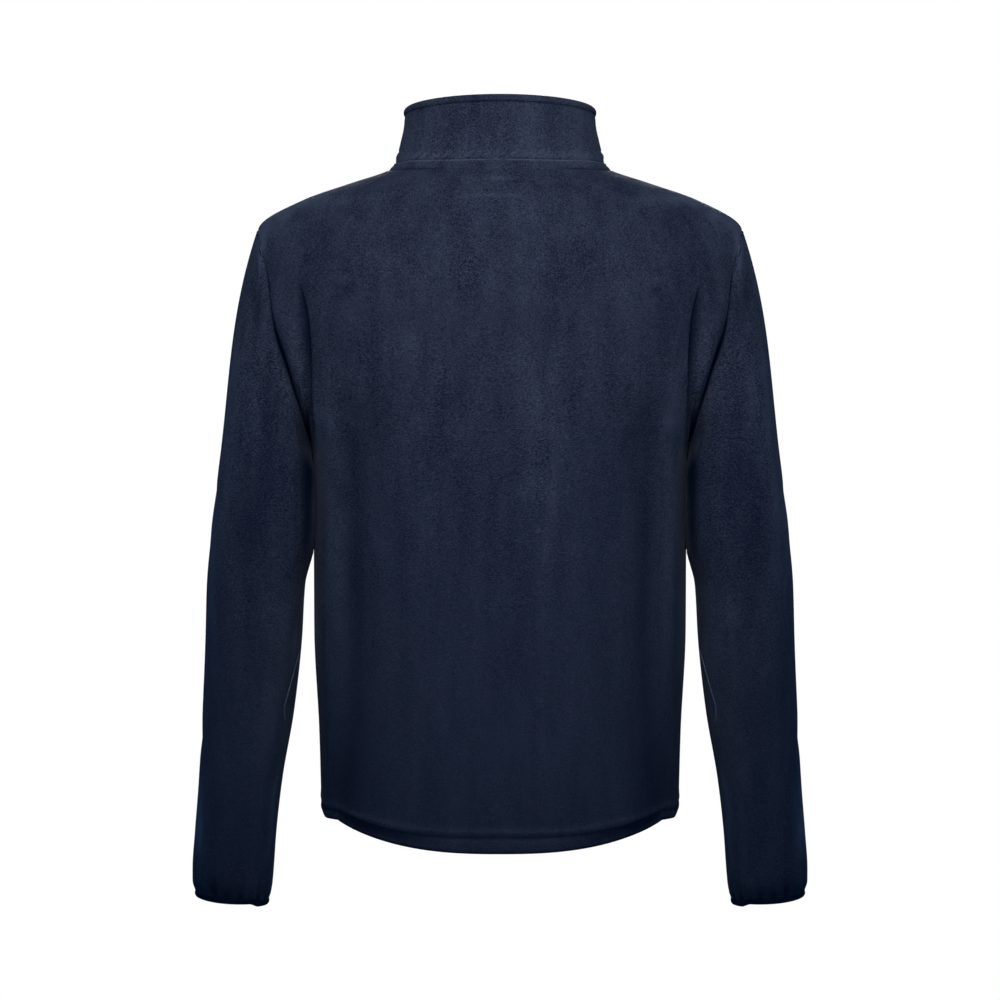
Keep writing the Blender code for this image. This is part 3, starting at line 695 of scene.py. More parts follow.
brushedAndLitStrokes = {  # across, down, half width and half height in millimetres, and lightness in percent of brushed tone, painted highlights and painted shade:
    # the single ones, and those on both sides
    "back": ([
        (-92, 180, 17, 14, 14), (-75, 128, 8, 34, 4), (23, 200, 9, 20, 10), (38, 240, 12, 22, 16),
        (44, 277, 9, 26, 16), (48, 322, 14, 16, 17), (46, 370, 8, 34, 15), (50, 440, 8, 40, 9),
        (95, 180, 16, 16, 10), (-156, 354, 10, 18, 15), (-164, 408, 10, 28, 12), (-160, 262, 9, 30, 12),
        (161, 250, 9, 30, 12), (158, 350, 10, 30, 10), (-75, 125, 12, 10, 5), (-108, 236, 22, 40, -8),
        (-118, 310, 20, 50, -11), (110, 290, 18, 70, -8), (-151.5, 116.5, 4.5, 4.5, 30),
        (151.5, 116.5, 4.5, 4.5, 28), (-148, 126, 7, 6, -16), (149, 126, 7, 6, -16), (66, 246, 8, 6, 10),
        (-10, 230, 10, 30, -7), (80, 300, 14, 60, -6), (-50, 260, 14, 60, -5), (4, 115, 10, 45, -7),
        (-120, 200, 10, 50, -6), (-16, 360, 16, 50, -4), (-30, 110, 13, 40, 7), (30, 70, 12, 30, 6),
        (-64, 230, 8, 30, 8), (120, 120, 10, 40, 6), (-80, 160, 30, 70, -11), (98, 180, 12, 50, -8),
        (0, 160, 16, 30, -12), (35, 300, 16, 90, 13), (165, 75, 16, 25, -14), (-165, 95, 20, 30, -11),
        (-78, 60, 12, 25, -12), (98, 50, 12, 20, -12), (-195, 115, 12, 20, -9), (195, 115, 12, 20, -6),
        (29, 320, 10, 12, 30), (30, 80, 9, 18, -14), (58, 262, 16, 9, 11), (28, 575, 50, 60, 8),
        (-28, 88, 9, 10, 13), (166, 420, 8, 50, 12), (-166, 420, 8, 50, 6), (-90, 262, 16, 12, 9),
        (158, 107, 18, 10, -11), (-145, 185, 10, 16, -10), (-176, 252, 12, 16, 12), (-48, 262, 11, 10, 10),
        (48, 262, 10, 9, 9), (68, 378, 10, 12, 11)
    ], [
        (195, 196, 6, 10, 14), (222, 60, 20, 16, 34), (196, 188, 6, 26, 20), (192.5, 236, 4, 20, 18),
        (180, 264, 5, 22, 24), (189, 288, 4, 20, -20), (160, 160, 26, 50, -11), (188, 15, 40, 10, 8),
        (177.5, 305, 5, 75, 20), (169, 290, 6, 60, 8), (196.5, 225, 4, 30, 16), (184.5, 450, 4, 80, 100),
        (179, 450, 4.5, 80, 36), (165.5, 255, 12, 14, 20), (170, 34, 28, 8, 50), (180.5, 300, 4, 50, 12),
        (165, 272, 20, 24, 17), (181, 275, 4, 22, 20), (237.5, 76, 7, 18, 95), (235, 92, 5, 16, 50),
        (229, 52, 7, 10, 45), (213, 45, 10, 9, 75), (196, 34, 10, 8, 60), (180, 26.5, 12, 7, 42),
        (150, 18, 14, 6, 18)
    ]),
    "front": ([
        (-88, 190, 18, 28, 10), (60, 160, 12, 50, 10), (20, 300, 14, 40, 10), (-40, 400, 12, 50, 8),
        (120, 360, 12, 50, 8), (-140, 300, 10, 60, -7)
    ], []),
    "collar": ([
        (-36, -22, 14, 10, 8), (0, -20, 30, 30, 8), (30, -40, 10, 20, 5)
    ], [
        (80, -30, 22, 50, 24), (98, -15, 16, 50, 22)
    ]),
    "sleeve": ([
        (222, 300, 24, 100, -14), (240, 150, 20, 60, -5), (222, 446, 12, 26, 16), (266, 210, 15, 80, 34),
        (286, 340, 10, 100, 16), (240, 480, 18, 50, -6), (186, 290, 6, 26, -30), (212, 450, 18, 60, 5),
        (222, 570, 10, 50, 20), (212, 505, 8, 40, 16), (236, 640, 12, 60, 22), (250, 300, 22, 60, -12),
        (246, 370, 26, 50, -10), (224, 225, 14, 30, -6), (256, 85, 8, 20, 14), (230, 510, 10, 30, 7),
        (290, 560, 7, 80, 8), (255, 300, 8, 20, 6), (243, 620, 16, 40, -5), (262, 200, 7, 24, 8),
        (302, 645, 7, 50, 110), (285, 330, 5, 60, 50), (240, 95, 5, 24, 85), (286, 410, 10, 60, 10),
        (208, 430, 8, 40, 14), (267, 258, 9, 45, 30), (274.5, 325, 8, 45, 28), (258.5, 195, 9, 35, 18),
        (247, 140, 6, 26, 14), (232.5, 98, 5, 16, 35), (211.5, 560, 5, 36, 34), (228.5, 715, 6, 16, 32),
        (248, 713, 8.5, 12, 18), (304, 693, 6, 10, -20)
    ], []),
}


def hemLevel(side, across):
    dip = hem["dip"][side] * np.maximum(1 - (across / hem["reach"]) ** hem["wide"], 0.0) ** hem["round"]
    return hem["sideLevel"] - dip + hem["corner"] * smoothstep(*hem["cornerFrom"], across)


def panelSkin(side):
    form, ends = panelForm, panelForm["columns"]
    last, neckColumn = len(ends) - 1, form["neckColumn"]
    column = np.concatenate([np.arange(0, last, 1 / fine), form["lastColumns"]])
    share = Curve([(i, end) for i, end in enumerate(ends)]).at(column)[0]
    edge = armholePoints(side)

    neck = column[column <= neckColumn + weld]
    crowd = 1 - (1 - (column[len(neck):] - neckColumn) / (last - neckColumn)) ** form["shoulderCrowding"]
    shoulderX = neckline["halfWidth"] + (edge[-1, 0] - neckline["halfWidth"]) * crowd
    shoulder = np.stack([shoulderX, 0 * shoulderX, topLevelAt(side, shoulderX, 0 * shoulderX)], -1)
    shoulder[-1] = edge[-1]
    tops = np.concatenate([necklinePoints(side, math.pi / 2 * neck / neckColumn), shoulder])

    across = oval(share * math.pi / 2, bodyForm[0, 4])[1]
    low = hemLevel(side, across)[None] + hem["rows"][:, None] * Curve(hem["share"]).at(across)[0]
    climb = np.linspace(0, 1, form["lowerSteps"] + 1)[1:, None]
    level = np.concatenate([low, low[-1:] + (armhole["armpit"] - low[-1:]) * climb])
    halfWidth, depth, square = section(side, level)
    forward, across = oval(share * math.pi / 2, square)
    lower = np.stack([halfWidth * across, signOf(side) * depth * forward, level], -1)

    first = lower[-1]
    climb = np.arange(1, armhole["steps"])[:, None] / armhole["steps"]
    lowShare, topShare = first[:, 0] / edge[0, 0], tops[:, 0] / edge[-1, 0]
    climb = climb + form["topRows"] * (1 - lowShare**2) * climb * (1 - climb)
    x = edge[1:-1, :1] * (lowShare + (topShare - lowShare) * climb ** form["topSpread"])
    angles = [np.arctan2(p[:, 2] - chestLevel, np.abs(p[:, 1])) for p in (first, tops)]
    upper = formPoint(side, x, angles[0] + (angles[1] - angles[0]) * climb)
    upper[:, -1] = edge[1:-1]

    half = np.concatenate([lower, upper, tops[None]])
    skin = np.concatenate([half[:, :0:-1] * (-1.0, 1.0, 1.0), half], 1)
    return skin if side == "back" else skin[:, ::-1]


def makePanel(name, side):
    skin = panelSkin(side)
    heights = hem["rows"]
    low = slice(0, len(heights))
    thick = np.full(len(skin), cloth["fleece"])
    blend = hem["bandBlend"]
    band = 1 - smoothstep(hem["stitchHeight"] - blend, hem["stitchHeight"] + blend, heights)
    thick[low] += (cloth["hem"] - cloth["fleece"]) * band
    panel = Cloth(name, skin, False, thick)
    creases, shadows = (
        [{"view": side, **row} for row in rows[side]] for rows in (panelCreases, panelShadows))
    panel.fold(creases, shadows, [panel.fromSides, panel.fromLast])
    radius = cloth["hem"] / 2
    rise = panel.along[low]
    turned = radius - np.sqrt(np.maximum(radius**2 - np.maximum(radius - rise, 0) ** 2, 0))
    stitched = rise[hem["stitchRow"]]
    fromSides = smoothstep(0.0, hem["ridgeFade"], panel.fromSides[low])
    share = stitched / hem["stitchHeight"] * (hem["sideShare"] + (1 - hem["sideShare"]) * fromSides)
    valley = bell(rise - stitched, hem["valleyWidth"])
    ridge = bell(rise - stitched - hem["ridgeHeight"], hem["ridgeWidth"])
    swell = np.sin(math.pi * np.clip(rise / stitched, 0, 1))
    puckers = puckerWave(panel.across[low], hem["puckerSpacing"], side)
    puckers *= bell(rise - stitched, hem["puckerWidth"])
    relief = hem["swell"] * swell + hem["ridge"] * ridge - hem["valley"] * valley
    panel.relief[low] += relief * share - turned + puckers * hem["pucker"]
    panel.innerRelief[low] = turned
    # painted light on the band and its ridge, and painted shade in the valley and along the turned edge
    shade = hem["bandLight"] * band[:, None] + hem["ridgeLight"] * ridge - hem["valleyShade"] * valley
    panel.nap[low] += shade - hem["edgeShade"] * bell(rise, hem["edge"])
    panel.dipSeams([panel.fromSides, panel.fromLast])
    panel.nap += brushedAndPaintedLight(panel.skin, side)
    return panel


waves = {
    "count": 6, "spread": (0.6, 1.7), "sum": 2.4,
    "seeds": {"back": 5, "front": 6, "groove": 11, "collar": 7},
}


def puckerWave(across, spacing, name):
    # an uneven wave along a row of stitches
    wave = np.zeros_like(across)
    draw = np.random.default_rng(waves["seeds"][name])
    for _ in range(waves["count"]):
        length = spacing * draw.uniform(*waves["spread"])
        wave += np.sin(across * math.tau / length + draw.uniform(0, math.tau))
    return wave / waves["sum"]


def brushedAndPaintedLight(points, name):
    # where the pile was brushed lighter or darker, and where highlights and shade are painted on it
    nap = np.zeros(points.shape[:2])
    single, paired = brushedAndLitStrokes[name]
    for x, down, halfWidth, halfHeight, light in [*single, *paired, *((-row[0], *row[1:]) for row in paired)]:
        away = np.hypot((1000 * points[..., 0] - x) / halfWidth, (1000 * points[..., 2] + down) / halfHeight)
        nap += light / 100 * bell(away, 1)
    return nap


# Sleeves

sleeve = {
    "grain": 0.36,
    "capSteps": 40, "capFirst": (0.003, 0.008, 0.015), "capReach": 0.36,
    # which way the cap leaves the armhole at its sides, its top and its foot, and comes up from the arm
    "ways": [(0.48, 0.0, -0.88), (0.30, 0.0, -0.95), (0.08, 0.0, -1.00), (-0.15, 0.0, 1.0)],
    "levels": [*np.linspace(-0.312, -0.690, 85), *np.linspace(-0.690, -0.7275, 22)[1:]],
    "touchLevel": -0.420, "clearanceFrom": (0.0, 0.02), "leanReach": 0.01,
    "endRise": 0.0055, "endRiseDepth": 0.018, "endRisePower": 3.0,  # its end is higher outwards,
    "endDrop": 0.0030, "endDropFrom": (0.55, 0.80),  # and lower beside its seam
}
sleeveCreases = [
    # beside the armhole seam: a short trough, and the roll of cloth along the seam lower down
    {"view": "back", "skew": 0.2, "fade": 0.003, "path": [(245.5, 76, 3, 0), (244.5, 92, 4.2, -4),
        (243.5, 115, 5, -5), (242.5, 140, 6, -3), (241.5, 172, 7, 0)]},
    {"view": "back", "fade": 0.004, "path": [(233, 150, 6, 0), (226, 175, 7, 2), (216, 203, 8, 3.5),
        (206.5, 232, 8, 3.4), (200, 255, 7, 1), (197, 268, 6, 0)]},
    # the elbow
    {"view": "back", "path": [(196, 452, 6, 0), (212, 462, 9, -1.6), (236, 468, 10, -1.2),
        (262, 464, 8, 0)]},
    {"view": "front", "path": [(196, 372, 6, 0), (216, 384, 8, -5.6), (244, 390, 9, -4.8),
        (276, 380, 7, 0)]},
    {"view": "front", "path": [(200, 418, 6, 0), (222, 424, 8, -5), (252, 420, 8, -3.4), (278, 406, 6, 0)]},
    {"view": "front", "path": [(206, 470, 7, 0), (230, 480, 10, -2.4), (262, 474, 8, 0)]},
    {"view": "right", "path": [(-50, 300, 10, 0), (-10, 340, 13, -2), (30, 372, 11, -3), (52, 388, 8, 0)]},
    {"view": "right", "path": [(-20, 590, 10, 0), (6, 560, 12, -1.6), (34, 520, 10, 0)]},
]
sleeveShadows = [
    # painted shade in the trough beside the armhole seam, and a painted highlight on the strip beside it
    {"view": "back", "path": [(246.2, 78, 2.4, 0), (246.2, 92, 3, -50), (245.8, 112, 3.4, -40),
        (244.5, 135, 3.8, -16), (243, 165, 4, 0)]},
    {"view": "back", "path": [(238.5, 62, 3, 0), (237.8, 80, 3.6, 20), (237, 105, 4, 12), (235, 140, 5, 0)]},
    # painted highlights along its inner side lower down
    {"view": "back", "path": [(200, 450, 3, 0), (202, 475, 3.2, 60), (207, 530, 3.2, 40), (213, 570, 3, 30),
        (221.5, 610, 3.4, 75), (225, 630, 3.4, 65), (228.5, 672, 3.4, 50), (231, 700, 3, 0)]},
    # painted shade where it hangs against the body
    {"view": "back", "path": [(204.5, 225, 6, 0), (195.5, 255, 8, -20), (189, 276, 8.5, -32),
        (188, 325, 7, -46), (188.5, 365, 6.8, -42), (190.5, 405, 6, -30), (193.5, 445, 5, -20),
        (199, 490, 5, -12), (207, 540, 5, -5), (216, 580, 6, 0)]},
    # painted shade where it hangs against the body at the front, and in the elbow creases
    {"view": "front", "path": [(202, 240, 6, 0), (192, 287, 8, -50), (191, 365, 8, -50),
        (196.5, 445, 6.5, -25), (209, 540, 6, 0)]},
    {"view": "front", "path": [(196, 372, 5, 0), (216, 384, 6, -18), (244, 390, 7, -14), (276, 380, 6, 0)]},
    {"view": "front", "path": [(200, 418, 5, 0), (222, 424, 6, -16), (252, 420, 6, -10), (278, 406, 5, 0)]},
]
cuffPuckers = [  # turn and half width in degrees, depth and height in millimetres
    (12, 7, 2.2, 30), (32, 5, 2, 16), (50, 7, 1.6, 12), (67, 7, 3.6, 21), (86, 6, 2.6, 11),
    (104, 6, 2.8, 12), (121, 5, 2, 10), (136, 6, 3.2, 18), (155, 7, 2.4, 16), (178, 6, 2.8, 15),
    (202, 8, 2.2, 20), (222, 6, 2.6, 13), (245, 7, 2.4, 19), (263, 6, 2.6, 12), (285, 8, 2.2, 21),
    (304, 6, 2.6, 14), (322, 7, 2.2, 12), (340, 6, 2.4, 18)
]
cuff = {
    "swell": 0.0010, "swellHeight": 0.020,
    # painted shade in the troughs of the gathers, and painted shade low on the sleeve above the binding
    "puckerShade": 70.0, "shade": 0.16, "shadeHeight": 0.030,
    "held": 0.0045,  # the binding holds the gathers flat this near
}


def armRing(level, turns):
    outer, inner, middleY, halfDepth, square = arm.at(level)
    reach = sleeve["leanReach"]
    lean = (arm.at(level - reach)[2] - arm.at(level + reach)[2]) / (2 * reach)
    across, behind = oval(turns, square)
    x = (outer + inner) / 2 + (outer - inner) / 2 * across
    y = -halfDepth * behind
    depth = sleeve["endRiseDepth"]
    rise = sleeve["endRise"] * smoothstep(0.0, depth, armForm[0, 0] + depth - level)
    outward = ((1 + across) / 2) ** sleeve["endRisePower"]
    dropped = sleeve["endDrop"] / sleeve["endRise"] * smoothstep(*sleeve["endDropFrom"], -across)
    return clearOfSide(np.stack([x, middleY + y, level + y * lean + rise * (outward - dropped)], -1))


def clearOfSide(ring):
    x, y, level = ring.T
    beside = (level > sleeve["touchLevel"]) & (level < armhole["armpit"])
    clearance = cloth["sleeveClearance"] * smoothstep(*sleeve["clearanceFrom"], armhole["armpit"] - level)
    for side, onSide in (("back", y < 0), ("front", y >= 0)):
        clear = np.maximum(x, halfWidthAt(side, y, level) + clearance)
        ring[:, 0] = np.where(beside & onSide, clear, ring[:, 0])
    return ring


def sleeveSkin():
    steps = armhole["steps"]
    start = np.concatenate([armholePoints("back")[::-1], armholePoints("front")[1:-1]])
    turns = math.pi * np.arange(2 * steps) / steps
    rings = [armRing(level, turns) for level in sleeve["levels"]]
    c, s = np.cos(turns)[:, None], np.abs(np.sin(turns))[:, None]
    sideWay, topWay, footWay, armWay = (np.array(way) for way in sleeve["ways"])
    leaving = unit(s * sideWay + np.maximum(c, 0) ** 2 * topWay + np.maximum(-c, 0) ** 2 * footWay)
    end = rings[0]
    reach = sleeve["capReach"] * np.linalg.norm(end - start, axis=1)[:, None]
    cap = [
        clearOfSide(bezier(start, start + reach * leaving, end + reach * armWay, end, t))
        for t in (*sleeve["capFirst"], *np.arange(1, sleeve["capSteps"]) / sleeve["capSteps"])
    ]
    return np.array([start] + cap + rings)


def makeSleeve(name, way):
    skin, flip = sleeveSkin()[:, ::way], (way, 1, 1)
    turns = np.degrees(math.pi * np.arange(skin.shape[1]) / armhole["steps"])[::way]
    piece = Cloth(name, skin * flip, True, cloth["fleece"], sleeve["grain"], flip)
    piece.fold(sleeveCreases, sleeveShadows, [piece.fromFirst])
    gathers = np.zeros_like(piece.relief)
    for turn, halfWidth, depth, height in cuffPuckers:
        away = (turns - turn + 180) % 360 - 180
        gathers -= depth / 1000 * bell(away, halfWidth) * bell(piece.fromLast, height / 1000)
    # painted shade in the gathers and above the binding
    piece.nap += gathers * cuff["puckerShade"]
    piece.nap -= cuff["shade"] * bell(piece.fromLast, cuff["shadeHeight"])
    gathers += cuff["swell"] * bell(piece.fromLast, cuff["swellHeight"])
    gathers *= smoothstep(0.0, cuff["held"], piece.fromLast)
    piece.relief += gathers
    piece.innerRelief += gathers
    piece.dipSeams([piece.fromFirst])
    piece.nap += brushedAndPaintedLight(piece.skin * flip, "sleeve")
    return piece


# Collar

collarForm = {
    "topHalfWidth": 0.0955, "back": 0.0790, "front": 0.0930,
    "sideLevel": 0.0530, "backRise": 0.0082, "frontFall": 0.0470, "frontCurve": 1.6,
    "footHold": 0.016, "footIn": 0.55, "footUp": 0.83, "topHold": 0.45,
    "rows": 0.001 * np.array((0, 0.7, 1.5, 2.5, 3.5, 4.5, 5.5, 6.3, 7, 7.6, 8.2, 8.7, 9.2, 9.7, 10.2, 10.8,
                              11.6, 12.6, 14, 15.6, 17.5, 19.5)),
    "middleRows": 13,
    "rowsFromTop": 0.001 * np.array((12, 9.5, 7.5, 6, 4.8, 3.8, 3, 2.3, 1.7, 1.1, 0.5, 0)),
    "samples": 201, "thickening": (0.002, 0.012),
    # how it bends in or out beside the neck: height, half width, rise
    "bends": [(0.010, 0.0062, -0.0025), (0.0215, 0.0013, -0.0009), (0.034, 0.0100, 0.0008)],
    "bendsFrom": (0.82, 0.96),
}
collarLine = {  # the row of stitches that presses the collar down above its seam
    # painted shade in the stitched groove, and painted highlights on the ridge below it and on the puckers
    # above it
    "height": 0.0100, "width": 0.0008, "dip": 0.0007, "shade": 0.34,
    "segment": 0.060, "pressedFrom": (-1.4, 0.0),
    "ridgeHeight": 0.0086, "ridgeWidth": 0.0009, "ridge": 0.0008, "ridgeLight": 0.85,
    "looseRidge": 0.4,  # what is left of the ridge where nothing presses
    "puckerHeight": 0.0145, "puckerWidth": 0.0040, "pucker": 0.0009, "puckerLight": 0.26,
    "puckerSpacing": 0.009, "puckerLean": 0.5,
}
# painted shade in the line under the rolled rim, wider towards the sides
collarRimLine = {"dip": 0.0005, "shade": 0.30, "width": 0.0010, "sideWidth": 0.0013, "side": (0.050, 0.094)}


def collarSkin():
    turn = math.pi / 2 * np.arange(neckline["steps"] + 1) / neckline["steps"]
    back, front = (necklinePoints(side, turn) for side in ("back", "front"))
    flip = (-1.0, 1.0, 1.0)
    foot = np.concatenate([back[::-1], back[1:] * flip, front[-2:0:-1] * flip, front[:-1]])
    turn = math.tau * np.arange(len(foot)) / len(foot)
    c, s = np.cos(turn), np.sin(turn)
    form = collarForm
    fall = form["frontFall"] * np.maximum(-s, 0) ** form["frontCurve"]
    level = form["sideLevel"] + form["backRise"] * np.maximum(s, 0) - fall
    top = np.stack([form["topHalfWidth"] * c, -np.where(s >= 0, form["back"], form["front"]) * s, level], -1)
    up = np.array((0.0, 0.0, 1.0))
    leave = foot + form["footHold"] * (form["footIn"] * unit(foot * (-1.0, -1.0, 0.0)) + form["footUp"] * up)
    arrive = top - form["topHold"] * np.linalg.norm(top - foot, axis=1)[:, None] * up
    wall = bezier(foot, leave, arrive, top, np.linspace(0, 1, form["samples"])[:, None, None])
    heights = lengthAlong(wall)
    columns = []
    for column in range(len(foot)):
        upper = heights[-1, column] - form["rowsFromTop"]
        middle = np.linspace(form["rows"][-1], upper[0], form["middleRows"] + 2)[1:-1]
        wanted = np.concatenate([form["rows"], middle, upper])
        columns.append([np.interp(wanted, heights[:, column], wall[:, column, axis]) for axis in range(3)])
    return np.array(columns).transpose(2, 0, 1)[:, ::-1]


def makeCollar():
    skin = collarSkin()
    form, line, rim = collarForm, collarLine, collarRimLine
    doubled = smoothstep(*form["thickening"], lengthAlong(skin[:, 0]))
    piece = Cloth("standCollar", skin, True, cloth["fleece"] + (cloth["collar"] - cloth["fleece"]) * doubled)
    piece.fold([], [], [piece.fromFirst])
    height, across = piece.along, piece.across[:, :-1]
    pressed = smoothstep(*line["pressedFrom"], puckerWave(across, line["segment"], "groove"))
    groove = bell(height - line["height"], line["width"]) * pressed
    ridge = bell(height - line["ridgeHeight"], line["ridgeWidth"])
    ridge *= line["looseRidge"] + (1 - line["looseRidge"]) * pressed
    puckers = puckerWave(across + height * line["puckerLean"], line["puckerSpacing"], "collar")
    puckered = bell(height - line["puckerHeight"], line["puckerWidth"])
    piece.relief += line["ridge"] * ridge - line["dip"] * groove + line["pucker"] * puckers * puckered
    # painted highlights on the ridge and the puckers, and painted shade in the groove
    piece.nap += line["ridgeLight"] * ridge - line["shade"] * groove
    piece.nap += line["puckerLight"] * puckered * (1 + puckers)
    beside = np.abs(skin[..., 0])
    aside = smoothstep(*form["bendsFrom"], beside / beside.max(1, keepdims=True))
    for level, halfWidth, rise in form["bends"]:
        bent = rise * bell(height - level, halfWidth) * aside
        piece.relief += bent
        piece.innerRelief += bent
    # the dip under the rim, with painted shade in it
    under = bell(piece.fromLast, rim["width"] + rim["sideWidth"] * smoothstep(*rim["side"], beside))
    piece.relief -= rim["dip"] * under
    piece.nap += brushedAndPaintedLight(skin, "collar") - rim["shade"] * under
    piece.dipSeams([piece.fromFirst])
    return piece


# Rolled bindings

bindings = {
    "collar": {"height": 0.0072, "thickness": 0.0060, "sides": 16, "light": 0.30},
    "cuff": {"height": 0.0066, "thickness": 0.0040, "sides": 14, "light": 0.0},
    "lightFrom": (0.03, 0.08),  # painted light comes in towards its sides
}


def makeBinding(name, piece, form, finish, replaces):
    # a rolled ring of cloth that closes the last row of a piece
    sides, edge = form["sides"], piece.skin[-1]
    lining = edge - piece.directions[-1] * piece.thickness[-1][:, None]
    out = unit(edge - lining)
    along = edge - piece.skin[-2]
    along = unit(along - out * (along * out).sum(-1, keepdims=True))
    angle = math.tau * (np.arange(sides + 1) % sides)[:, None, None] / sides
    beyond = form["height"] / 2 * (1 + np.sin(angle))
    places = (edge + lining) / 2 + along * beyond + out * form["thickness"] / 2 * np.cos(angle)
    places = piece.ring(places)
    # painted light on the rolled rim towards its sides
    nap = form["light"] * smoothstep(*bindings["lightFrom"], np.abs(places[..., 0]))
    across, up = lengthAlong(piece.ring(edge[None])[0]), np.linspace(0, form["height"], sides + 1)
    roll = bmesh.new()
    addGrid(roll, places, {"nap": nap}, np.dstack(np.meshgrid(across, up)))
    return addPiece(name, roll, finish, replaces)


# Seams that stand up

underarm = {"sides": 8, "step": 0.0016, "taper": 0.007, "leastShare": 0.05}
underarmPaths = [  # radius, lightness of a painted highlight, then across and down in millimetres, as seen from behind
    (0.0010, 0.90, [(197.5, 472), (205.2, 503.3), (213.9, 535), (213.9, 544.9), (211.8, 553)]),
    (0.0006, 0.16, [(232.5, 590), (233.6, 620), (236.2, 655), (240, 693), (243, 716)]),
]


def sewUnderarm(name, piece):
    # a thin welt that follows the sleeve's seam
    mesh = piece.object.data
    surface = BVHTree.FromPolygons([v.co for v in mesh.vertices], [p.vertices for p in mesh.polygons])
    angle = math.tau * (np.arange(underarm["sides"] + 1) % underarm["sides"])[:, None] / underarm["sides"]
    welt = bmesh.new()
    for fullest, light, path in underarmPaths:
        path = np.array(path) * (0.001, -0.001)
        lengths = lengthAlong(path)
        at = np.arange(0, lengths[-1], underarm["step"])
        line = zip(*(np.interp(at, lengths, values) for values in path.T))
        hits = [surface.ray_cast(Vector((piece.flip[0] * x, -1.0, z)), Vector((0, 1, 0))) for x, z in line]
        hits = [hit[:2] for hit in hits if hit[0]]  # the ends may lie past the sleeve's side
        spots, normals = np.array(hits).swapaxes(0, 1)
        along = np.vstack([spots[1:], spots[-1:]]) - np.vstack([spots[:1], spots[:-1]])
        aside = unit(np.cross(unit(along), normals))[:, None]
        ends = at[: len(hits)]
        ends = np.minimum(ends, ends[-1] - ends)[:, None] / underarm["taper"]
        radius = fullest * np.minimum(ends + underarm["leastShare"], 1)
        around = np.cos(angle) * aside + np.sin(angle) * normals[:, None]
        # a painted highlight along the welt, fading at its ends
        nap = np.repeat(light * np.minimum(ends, 1), len(angle), 1)
        addGrid(welt, spots[:, None] + radius[..., None] * around, {"nap": nap})
    bmesh.ops.holes_fill(welt, edges=welt.edges[:])
    return addPiece(name, welt, fleece)


# Stitches

stitch = {"length": 0.0027, "step": 0.0036, "width": 0.0006, "around": 6, "beads": 5, "ahead": 0.001}


def stitchRow(name, path, normals, finish):
    # small beads of thread along a line, half sunk in the pile
    lengths = lengthAlong(path)
    count = int(lengths[-1] / stitch["step"])
    size = Matrix.Diagonal((stitch["width"] / 2, stitch["width"] / 2, stitch["length"] / 2, 1))
    thread = bmesh.new()
    for i in range(count):
        at = lengths[-1] * (i + 0.5) / count
        spot, ahead, normal = (
            np.array([np.interp(where, lengths, values[:, axis]) for axis in range(3)])
            for where, values in ((at, path), (at + stitch["ahead"], path), (at, normals))
        )
        along, normal = Vector(ahead - spot).normalized(), Vector(normal).normalized()
        side = along.cross(normal).normalized()
        turn = Matrix((side, normal, along)).transposed().to_4x4()
        bmesh.ops.create_uvsphere(
            thread, u_segments=stitch["around"], v_segments=stitch["beads"], radius=1.0,
            matrix=Matrix.Translation(Vector(spot)) @ turn @ size,
        )
    return addPiece(name, thread, finish)


# Making the garment

fleece, elastic, thread = fleeceFinish(), elasticFinish(), threadFinish()
print("finishes made")

back, front = (makePanel(side + "Panel", side) for side in ("back", "front"))
right, left = makeSleeve("sleeveRight", 1), makeSleeve("sleeveLeft", -1)
collar = makeCollar()
cut = {"back_panel": back, "front_panel": front, "sleeve_right": right, "sleeve_left": left, "collar": collar}
joinSeams(cut.values())
print("seams joined")

for solid, piece in cut.items():
    piece.build(fleece, "navy_fleece", [solid])
print("cloth built")

rim, cuffRoll, elasticSlot = bindings["collar"], bindings["cuff"], "elastic_binding"
collarRim = makeBinding("collarBinding", collar, rim, fleece, ["collar_binding"])
cuffRight = makeBinding("cuffBindingRight", right, cuffRoll, elastic, ["cuff_binding_right"])
cuffLeft = makeBinding("cuffBindingLeft", left, cuffRoll, elastic, ["cuff_binding_left"])
weltRight, weltLeft = sewUnderarm("underarmSeamRight", right), sewUnderarm("underarmSeamLeft", left)
print("bindings and welts built")

stitches = [
    stitchRow(name, piece.outer[hem["stitchRow"]], piece.normals[hem["stitchRow"]], thread)
    for name, piece in (("hemStitchesBack", back), ("hemStitchesFront", front))
]
print("stitches sewn")

# Floor, light and camera

studio = {
    "floorLevel": -1.45,  # where a wearer's feet would stand
    "floorSize": 3.2, "floorSides": 96, "floorFade": (1.0, 3.0), "floorColour": (0.88, 0.88, 0.89, 1),
    "cameraDistance": 4.0, "cameraLevel": -0.33, "lens": 144.0, "sensor": 36.0,
    "ambient": (0.0, 0.066, 0.170, 1.0),
    "lamps": [  # name, distance, level, level it aims at, size, spread, power
        ("softbox", 2.0, 0.55, 0.02, 0.8, 50, 3.6),
        ("fill", 4.0, 0.5, -0.3, 2.0, 180, 3.65),
    ],
}


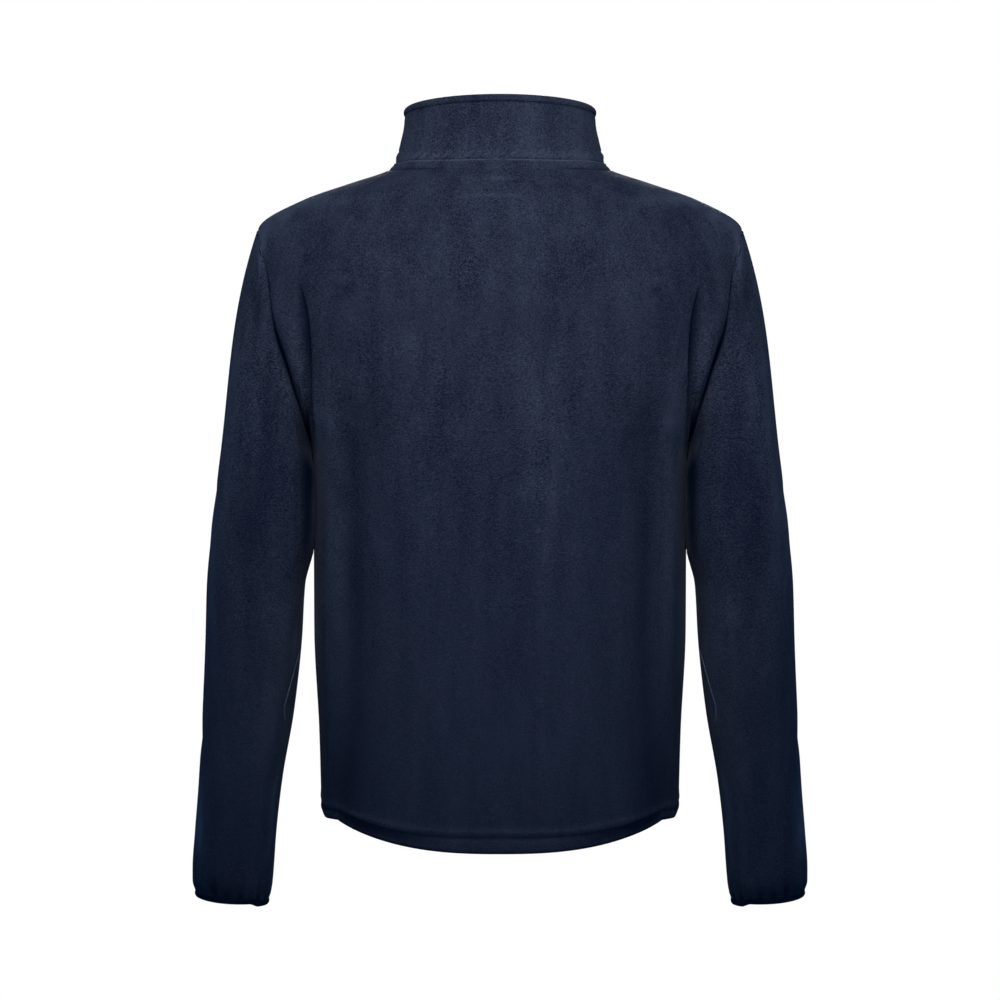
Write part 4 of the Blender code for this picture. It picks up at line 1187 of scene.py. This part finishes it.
def buildStudio():
    finish = Finish(bpy.data.materials.new("paleFloor"))
    flat = finish.node("ShaderNodeVectorMath", {"operation": "MULTIPLY"}, {0: finish.where(), 1: (1, 1, 0)})
    away = finish.node("ShaderNodeVectorMath", {"operation": "LENGTH"}, {0: flat}, 1)
    finish.surface(finish.shader((0.0, 0.0, 0.0, 1), 1.0, 0.0, {
        "Emission Color": studio["floorColour"],
        "Emission Strength": 1.0,
        "Alpha": 1 - finish.ramp(away, *studio["floorFade"]),
    }))
    shape = bmesh.new()
    bmesh.ops.create_circle(shape, cap_ends=True, segments=studio["floorSides"], radius=studio["floorSize"])
    bmesh.ops.translate(shape, verts=shape.verts, vec=(0, 0, studio["floorLevel"]))
    floor = linkMesh("floor", shape, finish.owner)
    floor.visible_diffuse = floor.visible_glossy = False  # its paleness doesn't light the cloth

    world = Finish(bpy.data.worlds.new("studio"))
    toCamera = world.node("ShaderNodeLightPath", {}, {}, "Is Camera Ray")
    lit, seen = (
        world.node("ShaderNodeBackground", {}, {0: colour}) for colour in (studio["ambient"], (1, 1, 1, 1)))
    mix = world.node("ShaderNodeMixShader", {}, {0: toCamera, 1: lit, 2: seen})
    bpy.context.scene.world = world.surface(mix, "ShaderNodeOutputWorld")

    for name, away, level, aim, size, spread, power in studio["lamps"]:
        for side in ("back", "front"):
            light = bpy.data.lights.new(name + side.title(), "AREA")
            light.spread = math.radians(spread)
            light.shape, light.size, light.energy = "SQUARE", size, power
            lamp = link(light.name, light)
            lamp.location = (0.0, signOf(side) * away, level)
            lamp.rotation_euler = (Vector((0, 0, aim)) - lamp.location).to_track_quat("-Z", "Y").to_euler()

    lens = bpy.data.cameras.new("camera")
    lens.lens, lens.sensor_width = studio["lens"], studio["sensor"]
    camera = link("camera", lens)
    camera.location = (0.0, -studio["cameraDistance"], studio["cameraLevel"])
    camera.rotation_euler = (math.radians(90), 0, 0)
    bpy.context.scene.camera = camera
    bpy.context.scene.view_settings.view_transform = "Standard"


buildStudio()
print("studio lit")
